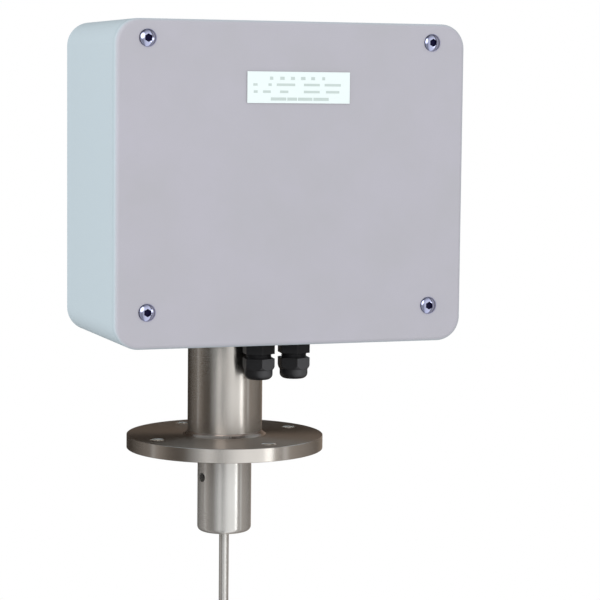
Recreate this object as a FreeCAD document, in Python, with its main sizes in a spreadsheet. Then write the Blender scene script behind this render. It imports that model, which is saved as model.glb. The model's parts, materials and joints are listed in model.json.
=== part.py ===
import FreeCAD
import Part
import Sketcher
import math
import os
from types import SimpleNamespace

# Electromechanical plumb bob level sensor.
# Millimetres, +Z up, the front cover faces -Y. The origin is the centre of the mounting flange's lower face.

Vector = FreeCAD.Vector

# Driving dimensions, in millimetres, degrees and counts.
DIMENSIONS = {
    # fits
    "fit_clearance": 0.05,
    "running_clearance": 0.05,
    "thread_clearance": 0.05,
    "rest_gap": 0.3,
    # housing box and front cover
    "left_room": 60.0,
    "right_room": 41.0,
    "top_room": 31.0,
    "front_room": 75.0,
    "back_room": 35.0,
    "box_wall": 7.0,
    "box_corner": 24.0,
    "back_edge": 4.0,
    "cover_depth": 10.0,
    "cover_plate": 4.0,
    "cover_edge": 4.5,
    "seam_gap": 0.3,
    "gasket_inset": 2.0,
    "gasket_width": 3.0,
    "gasket_groove": 2.4,
    "gasket_clearance": 0.1,
    # cover screws and their bosses
    "screw_left_inset": 31.6,
    "screw_right_inset": 35.6,
    "screw_top_inset": 18.5,
    "screw_bottom_inset": 36.0,
    "screw_diameter": 10.0,
    "screw_hole_clearance": 0.3,
    "screw_reach": 24.0,
    "head_diameter": 17.8,
    "head_height": 4.0,
    "socket_flats": 6.5,
    "socket_depth": 4.0,
    "boss_diameter": 20.0,
    "boss_rib": 8.0,
    # name plate
    "plate_width": 106.0,
    "plate_height": 30.5,
    "plate_thickness": 0.8,
    "plate_offset": 4.0,
    "plate_drop": 64.0,
    # neck and flange
    "flange_diameter": 200.0,
    "flange_thickness": 14.0,
    "flange_chamfer": 0.4,
    "flange_pcd": 160.0,
    "flange_hole": 14.0,
    "hole_chamfer": 0.8,
    "flange_angle": 15.0,
    "neck_length": 100.0,
    "neck_diameter": 76.0,
    "neck_bore": 60.0,
    "neck_gasket_thickness": 1.0,
    "weld_leg": 4.5,
    "spigot_diameter": 66.0,
    "spigot_proud": 1.0,
    "neck_nut_diameter": 82.0,
    "neck_nut_height": 12.0,
    "neck_nut_slot": 8.0,
    "neck_nut_slot_depth": 4.0,
    # guide tube below the flange
    "guide_diameter": 55.0,
    "guide_bore": 45.0,
    "guide_length": 86.0,
    "guide_lip": 6.0,
    "guide_lip_bore": 36.0,
    "guide_round": 5.0,
    "vent_diameter": 10.0,
    "vent_drop": 29.0,
    "bush_length": 30.0,
    "bush_clearance": 0.5,
    # cable glands
    "gland_left": 16.0,
    "gland_apart": 3.8,
    "gland_neck_gap": 0.4,
    "gland_angle": 24.0,
    "gland_flats": 29.0,
    "gland_round": 33.2,
    "gland_thread": 24.0,
    "gland_bore": 17.0,
    "gland_entry_proud": 3.0,
    "collar_height": 11.4,
    "gland_gap": 4.7,
    "cap_hex_height": 11.5,
    "cap_crown": 1.8,
    "cap_skirt_height": 9.8,
    "cap_skirt_diameter": 28.0,
    "cap_round": 5.5,
    "cap_mouth": 15.0,
    "cap_lip": 3.0,
    "cap_slack": 2.0,
    "seal_diameter": 19.0,
    "seal_bore": 12.0,
    "seal_length": 17.0,
    "gland_nut_flats": 29.0,
    "gland_nut_height": 5.0,
    # mechanism frame
    "frame_lead": 13.0,
    "frame_margin": 5.0,
    "frame_rise": 17.0,
    "frame_front": 20.0,
    "frame_gap": 65.0,
    "sheet_thickness": 4.0,
    "pillar_inset": 12.0,
    "pillar_diameter": 12.0,
    "stud_diameter": 6.0,
    "stud_proud": 6.0,
    "stud_reach": 10.0,
    "frame_nut_flats": 10.0,
    "frame_nut_height": 5.0,
    # rope drum and its shaft
    "drum_radius": 45.0,
    "drum_rise": 148.0,
    "drum_flange_radius": 54.0,
    "drum_flange_thickness": 4.0,
    "drum_wall": 4.0,
    "drum_web": 5.0,
    "drum_margin": 4.6,
    "hub_radius": 12.0,
    "rope_diameter": 2.5,
    "rope_pitch": 2.8,
    "rope_turns": 12,
    "shaft_diameter": 12.0,
    "shaft_end": 4.0,
    "drum_bush_radius": 9.0,
    "drum_bush_flange_radius": 12.0,
    "drum_bush_flange": 2.0,
    # gears
    "gear_module": 3.0,
    "gear_teeth": 44,
    "pinion_teeth": 16,
    "pressure_angle": 20.0,
    "backlash": 0.3,
    "gear_width": 8.0,
    "gear_gap": 6.0,
    "gear_hub_radius": 14.0,
    "gear_hole_radius": 11.0,
    "gear_hole_circle": 38.0,
    "gear_holes": 6,
    # gear motor
    "gearhead_size": 60.0,
    "gearhead_length": 28.0,
    "gearhead_corner": 4.0,
    "motor_diameter": 56.0,
    "motor_length": 60.0,
    "motor_opening": 31.0,
    "motor_shaft_diameter": 10.0,
    "motor_shaft_depth": 15.0,
    "motor_screw_pitch": 48.0,
    "motor_screw_diameter": 4.0,
    "motor_screw_head": 7.0,
    "motor_screw_head_height": 3.0,
    "motor_screw_reach": 10.0,
    # capacitor and its clip
    "capacitor_diameter": 30.0,
    "capacitor_length": 60.0,
    "capacitor_gap": 5.5,
    "clip_thickness": 1.3,
    "clip_height": 14.0,
    "clip_foot": 10.0,
    # slack-rope arm
    "pivot_left": 30.0,
    "pivot_drop": 22.0,
    "pivot_pin_diameter": 8.0,
    "roller_drop": 50.0,
    "roller_radius": 8.0,
    "roller_rim": 9.5,
    "roller_width": 12.0,
    "roller_groove": 3.0,
    "roller_gap": 0.35,
    "axle_diameter": 5.0,
    "axle_head_radius": 4.0,
    "axle_head": 1.5,
    "arm_thickness": 3.0,
    "arm_setback": 4.0,
    "arm_half_width": 6.0,
    "arm_hub_radius": 8.0,
    "arm_hub_length": 9.0,
    "tail_reach": 17.0,
    "tail_height": 5.0,
    "tail_drop": 1.7,
    "post_radius": 1.5,
    "post_drop": 22.0,
    "post_shift": 2.5,
    "spring_wire": 1.6,
    "spring_pitch": 1.76,
    "spring_turns": 5,
    "spring_leg": 26.0,
    "spring_stud_radius": 2.0,
    # slack switch
    "switch_length": 28.0,
    "switch_height": 16.0,
    "switch_thickness": 10.0,
    "switch_lead": 18.0,
    "plunger_lever": 14.0,
    "plunger_diameter": 3.0,
    "plunger_proud": 3.0,
    "plunger_length": 9.0,
    "plunger_room": 3.0,
    # limit sensor and turn counter
    "sensor_diameter": 12.0,
    "sensor_length": 60.0,
    "sensor_gap": 2.1,
    "sensor_rise": 12.0,
    "sensor_nut_flats": 17.0,
    "sensor_nut_height": 5.0,
    "magnet_disc_radius": 25.0,
    "magnet_disc_thickness": 4.0,
    "magnet_radius": 3.0,
    "magnet_circle": 19.0,
    "magnets": 6,
    "disc_hub_radius": 10.0,
    "disc_hub_length": 4.0,
    "collar_radius": 11.0,
    "collar_length": 8.0,
    "hall_width": 16.0,
    "hall_height": 20.0,
    "hall_thickness": 13.0,
    "hall_gap": 1.5,
    # control board and terminals
    "board_clearance": 3.2,
    "board_height": 46.0,
    "board_thickness": 1.6,
    "board_drop": 6.0,
    "board_gap": 9.0,
    "board_inset": 7.0,
    "standoff_length": 12.0,
    "standoff_diameter": 7.0,
    "relay_width": 19.0,
    "relay_height": 15.5,
    "relay_tall": 15.0,
    "relays": 3,
    "relay_pitch": 26.0,
    "transformer_width": 44.0,
    "transformer_height": 36.0,
    "transformer_tall": 26.0,
    "rail_margin": 6.0,
    "rail_width": 35.0,
    "rail_height": 7.5,
    "rail_crown": 25.0,
    "rail_sheet": 1.0,
    "rail_gap": 2.4,
    "rail_setback": 18.0,
    "terminal_width": 22.0,
    "terminal_height": 28.0,
    "terminal_pitch": 11.0,
    "terminal_poles": 8,
    "terminal_screw": 5.0,
    "terminal_entry": 6.0,
    "terminal_entry_depth": 8.0,
    # sensing weight
    "rod_diameter": 10.0,
    "rod_rise": 9.0,
    "rod_spigot_diameter": 6.0,
    "rod_spigot": 8.0,
    "rod_seat": 30.0,
    "terminal_diameter": 9.6,
    "terminal_length": 28.0,
    "rope_seat": 16.0,
    "bob_top": 172.0,
    "bob_diameter": 50.0,
    "bob_neck_diameter": 24.0,
    "bob_neck": 6.0,
    "bob_shoulder": 12.0,
    "bob_body": 72.0,
    "bob_cone": 40.0,
    "bob_tip_diameter": 6.0,
    "bob_nut_flats": 17.0,
    "bob_nut_height": 8.0,
}

HEXAGON_CORNER = 1.0 / math.sqrt(3.0)


class Size:
    """A number together with the sheet expression that gives it."""

    def __init__(self, text, value):
        self.text = text
        self.value = value

    def __add__(self, other):
        other = as_size(other)
        return Size("(%s + %s)" % (self.text, other.text), self.value + other.value)

    def __sub__(self, other):
        other = as_size(other)
        return Size("(%s - %s)" % (self.text, other.text), self.value - other.value)

    def __mul__(self, other):
        other = as_size(other)
        return Size("(%s * %s)" % (self.text, other.text), self.value * other.value)

    def __truediv__(self, other):
        other = as_size(other)
        return Size("(%s / %s)" % (self.text, other.text), self.value / other.value)

    def __neg__(self):
        return Size("(0 - %s)" % self.text, -self.value)


def as_size(amount):
    if isinstance(amount, Size):
        return amount
    return Size("(%.9f)" % amount, float(amount))


doc = FreeCAD.newDocument("plumb_bob_level_sensor")
sheet = doc.addObject("Spreadsheet::Sheet", "Dimensions")
for row, (alias, number) in enumerate(DIMENSIONS.items(), 1):
    sheet.set("A%d" % row, alias)
    sheet.set("B%d" % row, str(number))
    sheet.setAlias("B%d" % row, alias)
doc.recompute()
d = SimpleNamespace(**{alias: Size("Dimensions." + alias, float(sheet.get(alias))) for alias in DIMENSIONS})

zero = as_size(0)
nodes = []


# Binding, placing and naming


def bind(target, name, amount):
    target.setExpression(name, as_size(amount).text)


def place(target, x=0, y=0, z=0):
    bind(target, "Placement.Base.x", x)
    bind(target, "Placement.Base.y", y)
    bind(target, "Placement.Base.z", z)


def turn_about_z(target, angle):
    target.Placement.Rotation = FreeCAD.Rotation(Vector(0, 0, 1), angle.value)
    target.setExpression("Placement.Rotation.Angle", angle.text + " * 1 deg")


def node(target, name):
    target.Label = name
    nodes.append(target)
    return target


# Local z turned to the named world direction
TURNS = {
    "z": FreeCAD.Rotation(),
    "y": FreeCAD.Rotation(Vector(1, 0, 0), -90),
    "x": FreeCAD.Rotation(Vector(0, 1, 0), 90),
}


# Sketch outlines: each function returns one that draws into a sketch


def fix(sketch, kind, element, point, amount):
    amount = as_size(amount)
    if point is None:
        number = sketch.addConstraint(Sketcher.Constraint(kind, element, amount.value))
    else:
        number = sketch.addConstraint(Sketcher.Constraint(kind, element, point, amount.value))
    sketch.setExpression("Constraints[%d]" % number, amount.text)


def circle(x, y, radius):
    x, y, radius = as_size(x), as_size(y), as_size(radius)

    def draw(sketch):
        ring = Part.Circle(Vector(x.value, y.value, 0), Vector(0, 0, 1), radius.value)
        element = sketch.addGeometry(ring, False)
        fix(sketch, "Radius", element, None, radius)
        fix(sketch, "DistanceX", element, 3, x)
        fix(sketch, "DistanceY", element, 3, y)

    return draw


def polygon(points):
    points = [(as_size(x), as_size(y)) for x, y in points]

    def draw(sketch):
        corners = [Vector(x.value, y.value, 0) for x, y in points]
        elements = []
        for start, end in zip(corners, corners[1:] + corners[:1]):
            elements.append(sketch.addGeometry(Part.LineSegment(start, end), False))
        for element, following in zip(elements, elements[1:] + elements[:1]):
            sketch.addConstraint(Sketcher.Constraint("Coincident", element, 2, following, 1))
        for element, (x, y) in zip(elements, points):
            fix(sketch, "DistanceX", element, 1, x)
            fix(sketch, "DistanceY", element, 1, y)

    return draw


def rectangle(left, right, low, high):
    return polygon([(left, low), (right, low), (right, high), (left, high)])


def hexagon(x, y, flats):
    corner = flats * HEXAGON_CORNER
    half = flats / 2
    return polygon(
        [
            (x + corner, y),
            (x + corner / 2, y + half),
            (x - corner / 2, y + half),
            (x - corner, y),
            (x - corner / 2, y - half),
            (x + corner / 2, y - half),
        ]
    )


def rounded(left, right, low, high, radius):
    """A rectangle with four equal round corners, drawn counter-clockwise from its lower side."""

    def draw(sketch):
        x0, x1, y0, y1, r = (amount.value for amount in (left, right, low, high, radius))
        sides = [
            (Vector(x0 + r, y0, 0), Vector(x1 - r, y0, 0)),
            (Vector(x1, y0 + r, 0), Vector(x1, y1 - r, 0)),
            (Vector(x1 - r, y1, 0), Vector(x0 + r, y1, 0)),
            (Vector(x0, y1 - r, 0), Vector(x0, y0 + r, 0)),
        ]
        centres = [(x1 - r, y0 + r), (x1 - r, y1 - r), (x0 + r, y1 - r), (x0 + r, y0 + r)]
        lines, arcs = [], []
        for number, (ends, (x, y)) in enumerate(zip(sides, centres)):
            begin = math.radians(90 * number - 90)
            ring = Part.Circle(Vector(x, y, 0), Vector(0, 0, 1), r)
            lines.append(sketch.addGeometry(Part.LineSegment(*ends), False))
            arcs.append(sketch.addGeometry(Part.ArcOfCircle(ring, begin, begin + math.pi / 2), False))
        for number in range(4):
            direction = "Vertical" if number % 2 else "Horizontal"
            following = lines[(number + 1) % 4]
            sketch.addConstraint(Sketcher.Constraint("Tangent", lines[number], 2, arcs[number], 1))
            sketch.addConstraint(Sketcher.Constraint("Tangent", arcs[number], 2, following, 1))
            sketch.addConstraint(Sketcher.Constraint(direction, lines[number]))
        for arc in arcs[1:]:
            sketch.addConstraint(Sketcher.Constraint("Equal", arcs[0], arc))
        fix(sketch, "Radius", arcs[0], None, radius)
        fix(sketch, "DistanceY", lines[0], 1, low)
        fix(sketch, "DistanceX", lines[1], 1, right)
        fix(sketch, "DistanceY", lines[2], 1, high)
        fix(sketch, "DistanceX", lines[3], 1, left)

    return draw


# Bodies and their features. XZ sketches look from the front, so their normal is -Y.


def new_body(name):
    body = doc.addObject("PartDesign::Body", name)
    doc.recompute()
    return node(body, name)


def new_sketch(body, role, offset, outlines):
    sketch = body.newObject("Sketcher::SketchObject", "outline")
    plane = [feature for feature in body.Origin.OriginFeatures if feature.Role == role][0]
    sketch.AttachmentSupport = [(plane, "")]
    sketch.MapMode = "FlatFace"
    bind(sketch, "AttachmentOffset.Base.z", offset)
    for outline in outlines:
        outline(sketch)
    return sketch


def add_feature(body, kind, sketch, length):
    feature = body.newObject("PartDesign::" + kind, kind.lower())
    feature.Profile = sketch
    bind(feature, "Length", length)
    doc.recompute()
    return feature


def pad_y(body, outlines, front, back):
    return add_feature(body, "Pad", new_sketch(body, "XZ_Plane", -as_size(back), outlines), as_size(back) - front)


def pocket_y(body, outlines, front, back):
    sketch = new_sketch(body, "XZ_Plane", -as_size(front), outlines)
    return add_feature(body, "Pocket", sketch, as_size(back) - front)


def pad_z(body, outlines, low, high):
    return add_feature(body, "Pad", new_sketch(body, "XY_Plane", low, outlines), as_size(high) - low)


def pocket_z(body, outlines, low, high):
    return add_feature(body, "Pocket", new_sketch(body, "XY_Plane", high, outlines), as_size(high) - low)


def pad_x(body, outlines, left, right):
    return add_feature(body, "Pad", new_sketch(body, "YZ_Plane", left, outlines), as_size(right) - left)


def revolve(body, points):
    """A profile of (radius, height) points turned about the body's own z axis."""
    feature = body.newObject("PartDesign::Revolution", "revolution")
    sketch = new_sketch(body, "XZ_Plane", zero, [polygon(points)])
    feature.Profile = sketch
    feature.ReferenceAxis = (sketch, ["V_Axis"])
    feature.Angle = 360
    doc.recompute()
    return feature


def turned(name, points, x=0, y=0, z=0, along="z"):
    body = new_body(name)
    revolve(body, points)
    body.Placement.Rotation = TURNS[along]
    place(body, x, y, z)
    return body


def round_edges(body, feature, names, radius):
    fillet = body.newObject("PartDesign::Fillet", "fillet")
    fillet.Base = (feature, names)
    bind(fillet, "Radius", radius)
    doc.recompute()
    return fillet


def bevel_edges(body, feature, names, size):
    chamfer = body.newObject("PartDesign::Chamfer", "chamfer")
    chamfer.Base = (feature, names)
    bind(chamfer, "Size", size)
    doc.recompute()
    return chamfer


def edges_in_plane(shape, axis, position, radius=None):
    """Names of the edges that lie in the plane axis = position, or only of its circles of one radius."""
    names = []
    for number, edge in enumerate(shape.Edges, 1):
        low, high = getattr(edge.BoundBox, axis + "Min"), getattr(edge.BoundBox, axis + "Max")
        flat = max(abs(low - position), abs(high - position)) < 1e-4
        wanted = radius is None or abs(getattr(edge.Curve, "Radius", 0.0) - radius) < 1e-6
        if flat and wanted:
            names.append("Edge%d" % number)
    return names


# Primitives and booleans


def cylinder(radius, length, x=0, y=0, z=0, along="z"):
    solid = doc.addObject("Part::Cylinder", "cylinder")
    solid.Placement.Rotation = TURNS[along]
    bind(solid, "Radius", radius)
    bind(solid, "Height", length)
    place(solid, x, y, z)
    return solid


def ball(radius, x=0, y=0, z=0):
    solid = doc.addObject("Part::Sphere", "ball")
    bind(solid, "Radius", radius)
    place(solid, x, y, z)
    return solid


def torus(ring_radius, tube_radius, x=0, y=0, z=0):
    solid = doc.addObject("Part::Torus", "torus")
    bind(solid, "Radius1", ring_radius)
    bind(solid, "Radius2", tube_radius)
    place(solid, x, y, z)
    return solid


def block(left, right, front, back, low, high):
    solid = doc.addObject("Part::Box", "block")
    bind(solid, "Length", as_size(right) - left)
    bind(solid, "Width", as_size(back) - front)
    bind(solid, "Height", as_size(high) - low)
    place(solid, left, front, low)
    return solid


def hex_prism(flats, length, x=0, y=0, z=0, along="z"):
    solid = doc.addObject("Part::Prism", "prism")
    solid.Placement.Rotation = TURNS[along]
    solid.Polygon = 6
    bind(solid, "Circumradius", flats * HEXAGON_CORNER)
    bind(solid, "Height", length)
    place(solid, x, y, z)
    return solid


def fused(*solids):
    result = doc.addObject("Part::MultiFuse", "fusion")
    result.Shapes = list(solids)
    result.Refine = True
    doc.recompute()
    return result


def less(base, *tools):
    result = doc.addObject("Part::Cut", "cut")
    result.Base = base
    result.Tool = tools[0] if len(tools) == 1 else fused(*tools)
    doc.recompute()
    return result


def shared(first, second):
    result = doc.addObject("Part::Common", "common")
    result.Base = first
    result.Tool = second
    doc.recompute()
    return result


def shape_feature(shape, x, y, z, along):
    solid = doc.addObject("Part::Feature", "shape")
    solid.Shape = shape
    solid.Placement.Rotation = TURNS[along]
    place(solid, x, y, z)
    return solid


def ridged_sleeve(bore, mean_radius, wire_radius, pitch, turns):
    """Turns of wire side by side on a bore, as one solid: one half-round ridge for each turn, from height 0 up."""
    half = pitch / 2
    height = pitch * (turns - 1)
    path = [Vector(bore, 0, -half), Vector(mean_radius, 0, -half)]
    edges = [Part.LineSegment(*path).toShape()]
    last = path[1]
    for turn in range(turns):
        middle = turn * pitch
        start = Vector(mean_radius, 0, middle - wire_radius)
        crest = Vector(mean_radius + wire_radius, 0, middle)
        end = Vector(mean_radius, 0, middle + wire_radius)
        edges.append(Part.LineSegment(last, start).toShape())
        edges.append(Part.Arc(start, crest, end).toShape())
        last = end
    for corner in (Vector(mean_radius, 0, height + half), Vector(bore, 0, height + half), path[0]):
        edges.append(Part.LineSegment(last, corner).toShape())
        last = corner
    face = Part.Face(Part.Wire(edges))
    return face.revolve(Vector(0, 0, 0), Vector(0, 0, 1), 360)


def gear_blank(module, teeth, width, pressure_angle, backlash, turn):
    """A spur gear from height 0 up: involute flanks as arcs through three points of the involute."""
    pitch_radius = module * teeth / 2
    base_radius = pitch_radius * math.cos(pressure_angle)
    root_radius = pitch_radius - 1.25 * module
    tip_radius = pitch_radius + module
    flank_start = max(root_radius, base_radius)
    involute = math.tan(pressure_angle) - pressure_angle
    half_at_pitch = math.pi / (2 * teeth) - backlash / (4 * pitch_radius)

    def half_angle(radius):
        slope = math.acos(min(1.0, base_radius / radius))
        return half_at_pitch + involute - (math.tan(slope) - slope)

    def at(radius, angle):
        return Vector(radius * math.cos(angle), radius * math.sin(angle), 0)

    flank_radii = (flank_start, (flank_start + tip_radius) / 2, tip_radius)
    step = 2 * math.pi / teeth
    edges = []
    for tooth in range(teeth):
        middle = turn + tooth * step
        rising = [at(radius, middle - half_angle(radius)) for radius in flank_radii]
        falling = [at(radius, middle + half_angle(radius)) for radius in reversed(flank_radii)]
        foot = half_angle(flank_start)
        root_in, root_out = at(root_radius, middle - foot), at(root_radius, middle + foot)
        next_root = at(root_radius, middle + step - foot)
        if root_radius < base_radius:
            edges.append(Part.LineSegment(root_in, rising[0]).toShape())
        edges.append(Part.Arc(*rising).toShape())
        edges.append(Part.Arc(rising[2], at(tip_radius, middle), falling[0]).toShape())
        edges.append(Part.Arc(*falling).toShape())
        if root_radius < base_radius:
            edges.append(Part.LineSegment(falling[2], root_out).toShape())
        edges.append(Part.Arc(root_out, at(root_radius, middle + step / 2), next_root).toShape())
    return Part.Face(Part.Wire(edges)).extrude(Vector(0, 0, width))


# Places that several pieces share

box_bottom = d.flange_thickness + d.neck_length
floor = box_bottom + d.box_wall

plate_front = -d.frame_front
plate_back = plate_front + d.sheet_thickness
rear_plate_front = plate_back + d.frame_gap
rear_plate_back = rear_plate_front + d.sheet_thickness

drum_x = d.drum_radius
drum_z = box_bottom + d.drum_rise
centre_distance = d.gear_module * (d.gear_teeth + d.pinion_teeth) / 2
pinion_x = drum_x + centre_distance
gear_tip = d.gear_module * (d.gear_teeth / 2 + 1)
gear_back = plate_front - d.gear_gap
gear_front = gear_back - d.gear_width

pivot_x = -d.pivot_left
pivot_z = drum_z - d.pivot_drop
roller_x = -(d.rope_diameter / 2 + d.roller_gap + d.roller_radius)
roller_z = pivot_z - d.roller_drop
arm_front = plate_back + d.arm_setback
arm_back = arm_front + d.arm_thickness
tail_top = pivot_z - d.tail_drop
tail_low = tail_top - d.tail_height
plunger_x = pivot_x - d.plunger_lever
plunger_y = arm_front + d.arm_thickness / 2
plunger_top = tail_low - d.rest_gap
switch_left = plunger_x - d.switch_lead
switch_top = plunger_top - d.plunger_proud

frame_left = switch_left - d.frame_lead
frame_right = pinion_x + d.gearhead_size / 2 + d.frame_margin
frame_low = floor + d.frame_rise
board_low = drum_z + gear_tip + d.board_gap
board_high = board_low + d.board_height
frame_high = board_high + d.board_drop
pillar_columns = [frame_left + d.pillar_inset, frame_right - d.pillar_inset]
pillar_rows = [frame_low + d.pillar_inset, frame_high - d.pillar_inset]
pillar_places = [(x, z) for z in pillar_rows for x in pillar_columns]
nut_room = d.frame_nut_flats * HEXAGON_CORNER + d.board_clearance + d.standoff_diameter / 2
standoff_columns = [pillar_columns[0] + nut_room, pillar_columns[1] - nut_room]

# The box stands around the frame, with room on each side
box_left = frame_left - d.left_room - d.box_wall
box_right = frame_right + d.right_room + d.box_wall
box_top = frame_high + d.top_room + d.box_wall
inner_back = rear_plate_back + d.back_room
box_back = inner_back + d.box_wall
cover_front = plate_front - d.front_room
cover_back = cover_front + d.cover_depth
box_front = cover_back + d.seam_gap

screw_columns = [box_left + d.screw_left_inset, box_right - d.screw_right_inset]
screw_low = box_bottom + d.screw_bottom_inset
screw_high = box_top - d.screw_top_inset
screw_places = [(x, z) for z in (screw_low, screw_high) for x in screw_columns]

# The glands stand side by side in front of the neck's nut, and the terminal rail starts beside them
gland_places = [d.gland_left, d.gland_left + d.gland_round + d.gland_apart]
gland_y = -(d.neck_nut_diameter / 2 + d.gland_round / 2 + d.gland_neck_gap)
rail_start = gland_places[1] + d.gland_round / 2 + d.rail_gap
block_low = floor + d.rail_height
block_high = block_low + d.terminal_height

sensor_z = frame_low + d.sensor_rise
rod_top = floor + d.rod_rise
terminal_top = rod_top + d.terminal_length
rope_foot = terminal_top - d.rope_seat


# Housing


def make_housing_box():
    body = new_body("housing_box")
    outer = rounded(box_left, box_right, box_bottom, box_top, d.box_corner)
    shell = pad_y(body, [outer], box_front, box_back)
    round_edges(body, shell, edges_in_plane(shell.Shape, "Y", box_back.value), d.back_edge)
    inner = rounded(
        box_left + d.box_wall,
        box_right - d.box_wall,
        box_bottom + d.box_wall,
        box_top - d.box_wall,
        d.box_corner - d.box_wall,
    )
    pocket_y(body, [inner], box_front, inner_back)
    pad_y(body, [circle(x, z, d.boss_diameter / 2) for x, z in screw_places], box_front, inner_back)
    half_rib = d.boss_rib / 2
    ribs = []
    for x in screw_columns:
        ribs.append(rectangle(x - half_rib, x + half_rib, floor, screw_low))
        ribs.append(rectangle(x - half_rib, x + half_rib, screw_high, box_top - d.box_wall))
    pad_y(body, ribs, box_front + d.screw_reach, inner_back)
    thread = [circle(x, z, d.screw_diameter / 2) for x, z in screw_places]
    pocket_y(body, thread, box_front, box_front + d.screw_reach)
    openings = [circle(zero, zero, d.spigot_diameter / 2 + d.rest_gap)]
    openings += [circle(x, gland_y, d.gland_thread / 2 + d.rest_gap) for x in gland_places]
    pocket_z(body, openings, box_bottom, floor)


def gasket_ring(slack):
    outer = d.gasket_inset + slack
    inner = d.gasket_inset + d.gasket_width - slack
    return [
        rounded(box_left + inset, box_right - inset, box_bottom + inset, box_top - inset, d.box_corner - inset)
        for inset in (outer, inner)
    ]


def make_front_cover():
    body = new_body("front_cover")
    outer = rounded(box_left, box_right, box_bottom, box_top, d.box_corner)
    slab = pad_y(body, [outer], cover_front, cover_back)
    round_edges(body, slab, edges_in_plane(slab.Shape, "Y", cover_front.value), d.cover_edge)
    inner = rounded(
        box_left + d.box_wall,
        box_right - d.box_wall,
        box_bottom + d.box_wall,
        box_top - d.box_wall,
        d.box_corner - d.box_wall,
    )
    plate_rear = cover_front + d.cover_plate
    hollow = new_sketch(body, "XZ_Plane", -cover_back, [inner])
    recess = add_feature(body, "Pocket", hollow, d.cover_depth - d.cover_plate)
    recess.Reversed = True
    doc.recompute()
    pad_y(body, [circle(x, z, d.boss_diameter / 2) for x, z in screw_places], plate_rear, cover_back)
    clearance = d.screw_diameter / 2 + d.screw_hole_clearance
    pocket_y(body, [circle(x, z, clearance) for x, z in screw_places], cover_front, cover_back)
    pocket_y(body, gasket_ring(zero), cover_back - d.gasket_groove, cover_back)


def make_cover_gasket():
    body = new_body("cover_gasket")
    pad_y(body, gasket_ring(d.gasket_clearance), cover_back - d.gasket_groove, box_front)


def make_cover_screws():
    """Button heads, each a low dome with a hexagon socket; the shanks end short of the bottom of their holes."""
    radius = d.head_diameter / 2
    dome = (radius * radius + d.head_height * d.head_height) / (d.head_height * 2)
    head_front = cover_front - d.head_height
    shank = d.screw_diameter / 2 - d.thread_clearance
    shank_length = box_front + d.screw_reach - d.thread_clearance - cover_front
    screws = []
    for x, z in screw_places:
        room = block(x - radius, x + radius, head_front, cover_front, z - radius, z + radius)
        head = shared(ball(dome, x, head_front + dome, z), room)
        shaft = cylinder(shank, shank_length, x, cover_front, z, along="y")
        socket = hex_prism(d.socket_flats, d.socket_depth, x, head_front, z, along="y")
        screws.append(less(fused(head, shaft), socket))
    node(fused(*screws), "cover_screws")


def make_name_plate():
    middle = (box_left + box_right) / 2 + d.plate_offset
    height = box_top - d.plate_drop
    plate = block(
        middle - d.plate_width / 2,
        middle + d.plate_width / 2,
        cover_front - d.plate_thickness,
        cover_front,
        height - d.plate_height / 2,
        height + d.plate_height / 2,
    )
    node(plate, "name_plate")


# Neck, flange and guide tube


def make_neck():
    bore = d.neck_bore / 2
    outside = d.neck_diameter / 2
    spigot = d.spigot_diameter / 2
    shoulder = box_bottom - d.neck_gasket_thickness
    spigot_top = floor + d.neck_nut_height + d.spigot_proud
    turned(
        "neck_tube",
        [
            (bore, d.flange_thickness),
            (outside, d.flange_thickness),
            (outside, shoulder),
            (spigot, shoulder),
            (spigot, spigot_top),
            (bore, spigot_top),
        ],
    )
    inside = spigot + d.rest_gap
    turned("neck_gasket", [(inside, shoulder), (outside, shoulder), (outside, box_bottom), (inside, box_bottom)])
    nut_top = floor + d.neck_nut_height
    threaded = spigot + d.thread_clearance
    nut_radius = d.neck_nut_diameter / 2
    nut = turned("neck_locknut", [(threaded, floor), (nut_radius, floor), (nut_radius, nut_top), (threaded, nut_top)])
    half = d.neck_nut_slot / 2
    depth = nut_radius - d.neck_nut_slot_depth
    slots = [
        rectangle(depth, nut_radius * 2, -half, half),
        rectangle(-(nut_radius * 2), -depth, -half, half),
        rectangle(-half, half, depth, nut_radius * 2),
        rectangle(-half, half, -(nut_radius * 2), -depth),
    ]
    pocket_z(nut, slots, floor, nut_top)
    base = outside + d.fit_clearance
    weld = [
        (base, d.flange_thickness),
        (base + d.weld_leg, d.flange_thickness),
        (base, d.flange_thickness + d.weld_leg),
    ]
    turned("neck_weld", weld)


def make_flange():
    body = new_body("mounting_flange")
    bore = d.guide_diameter / 2 + d.fit_clearance
    rim = d.flange_diameter / 2
    chamfer = d.flange_chamfer
    revolve(
        body,
        [
            (bore, zero),
            (rim - chamfer, zero),
            (rim, chamfer),
            (rim, d.flange_thickness - chamfer),
            (rim - chamfer, d.flange_thickness),
            (bore, d.flange_thickness),
        ],
    )
    circle_radius = d.flange_pcd / 2
    hole = d.flange_hole / 2
    holes = [
        circle(circle_radius, zero, hole),
        circle(zero, circle_radius, hole),
        circle(-circle_radius, zero, hole),
        circle(zero, -circle_radius, hole),
    ]
    drilled = pocket_z(body, holes, zero, d.flange_thickness)
    rims = edges_in_plane(drilled.Shape, "Z", d.flange_thickness.value, hole.value)
    bevel_edges(body, drilled, rims, d.hole_chamfer)
    turn_about_z(body, d.flange_angle)


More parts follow.
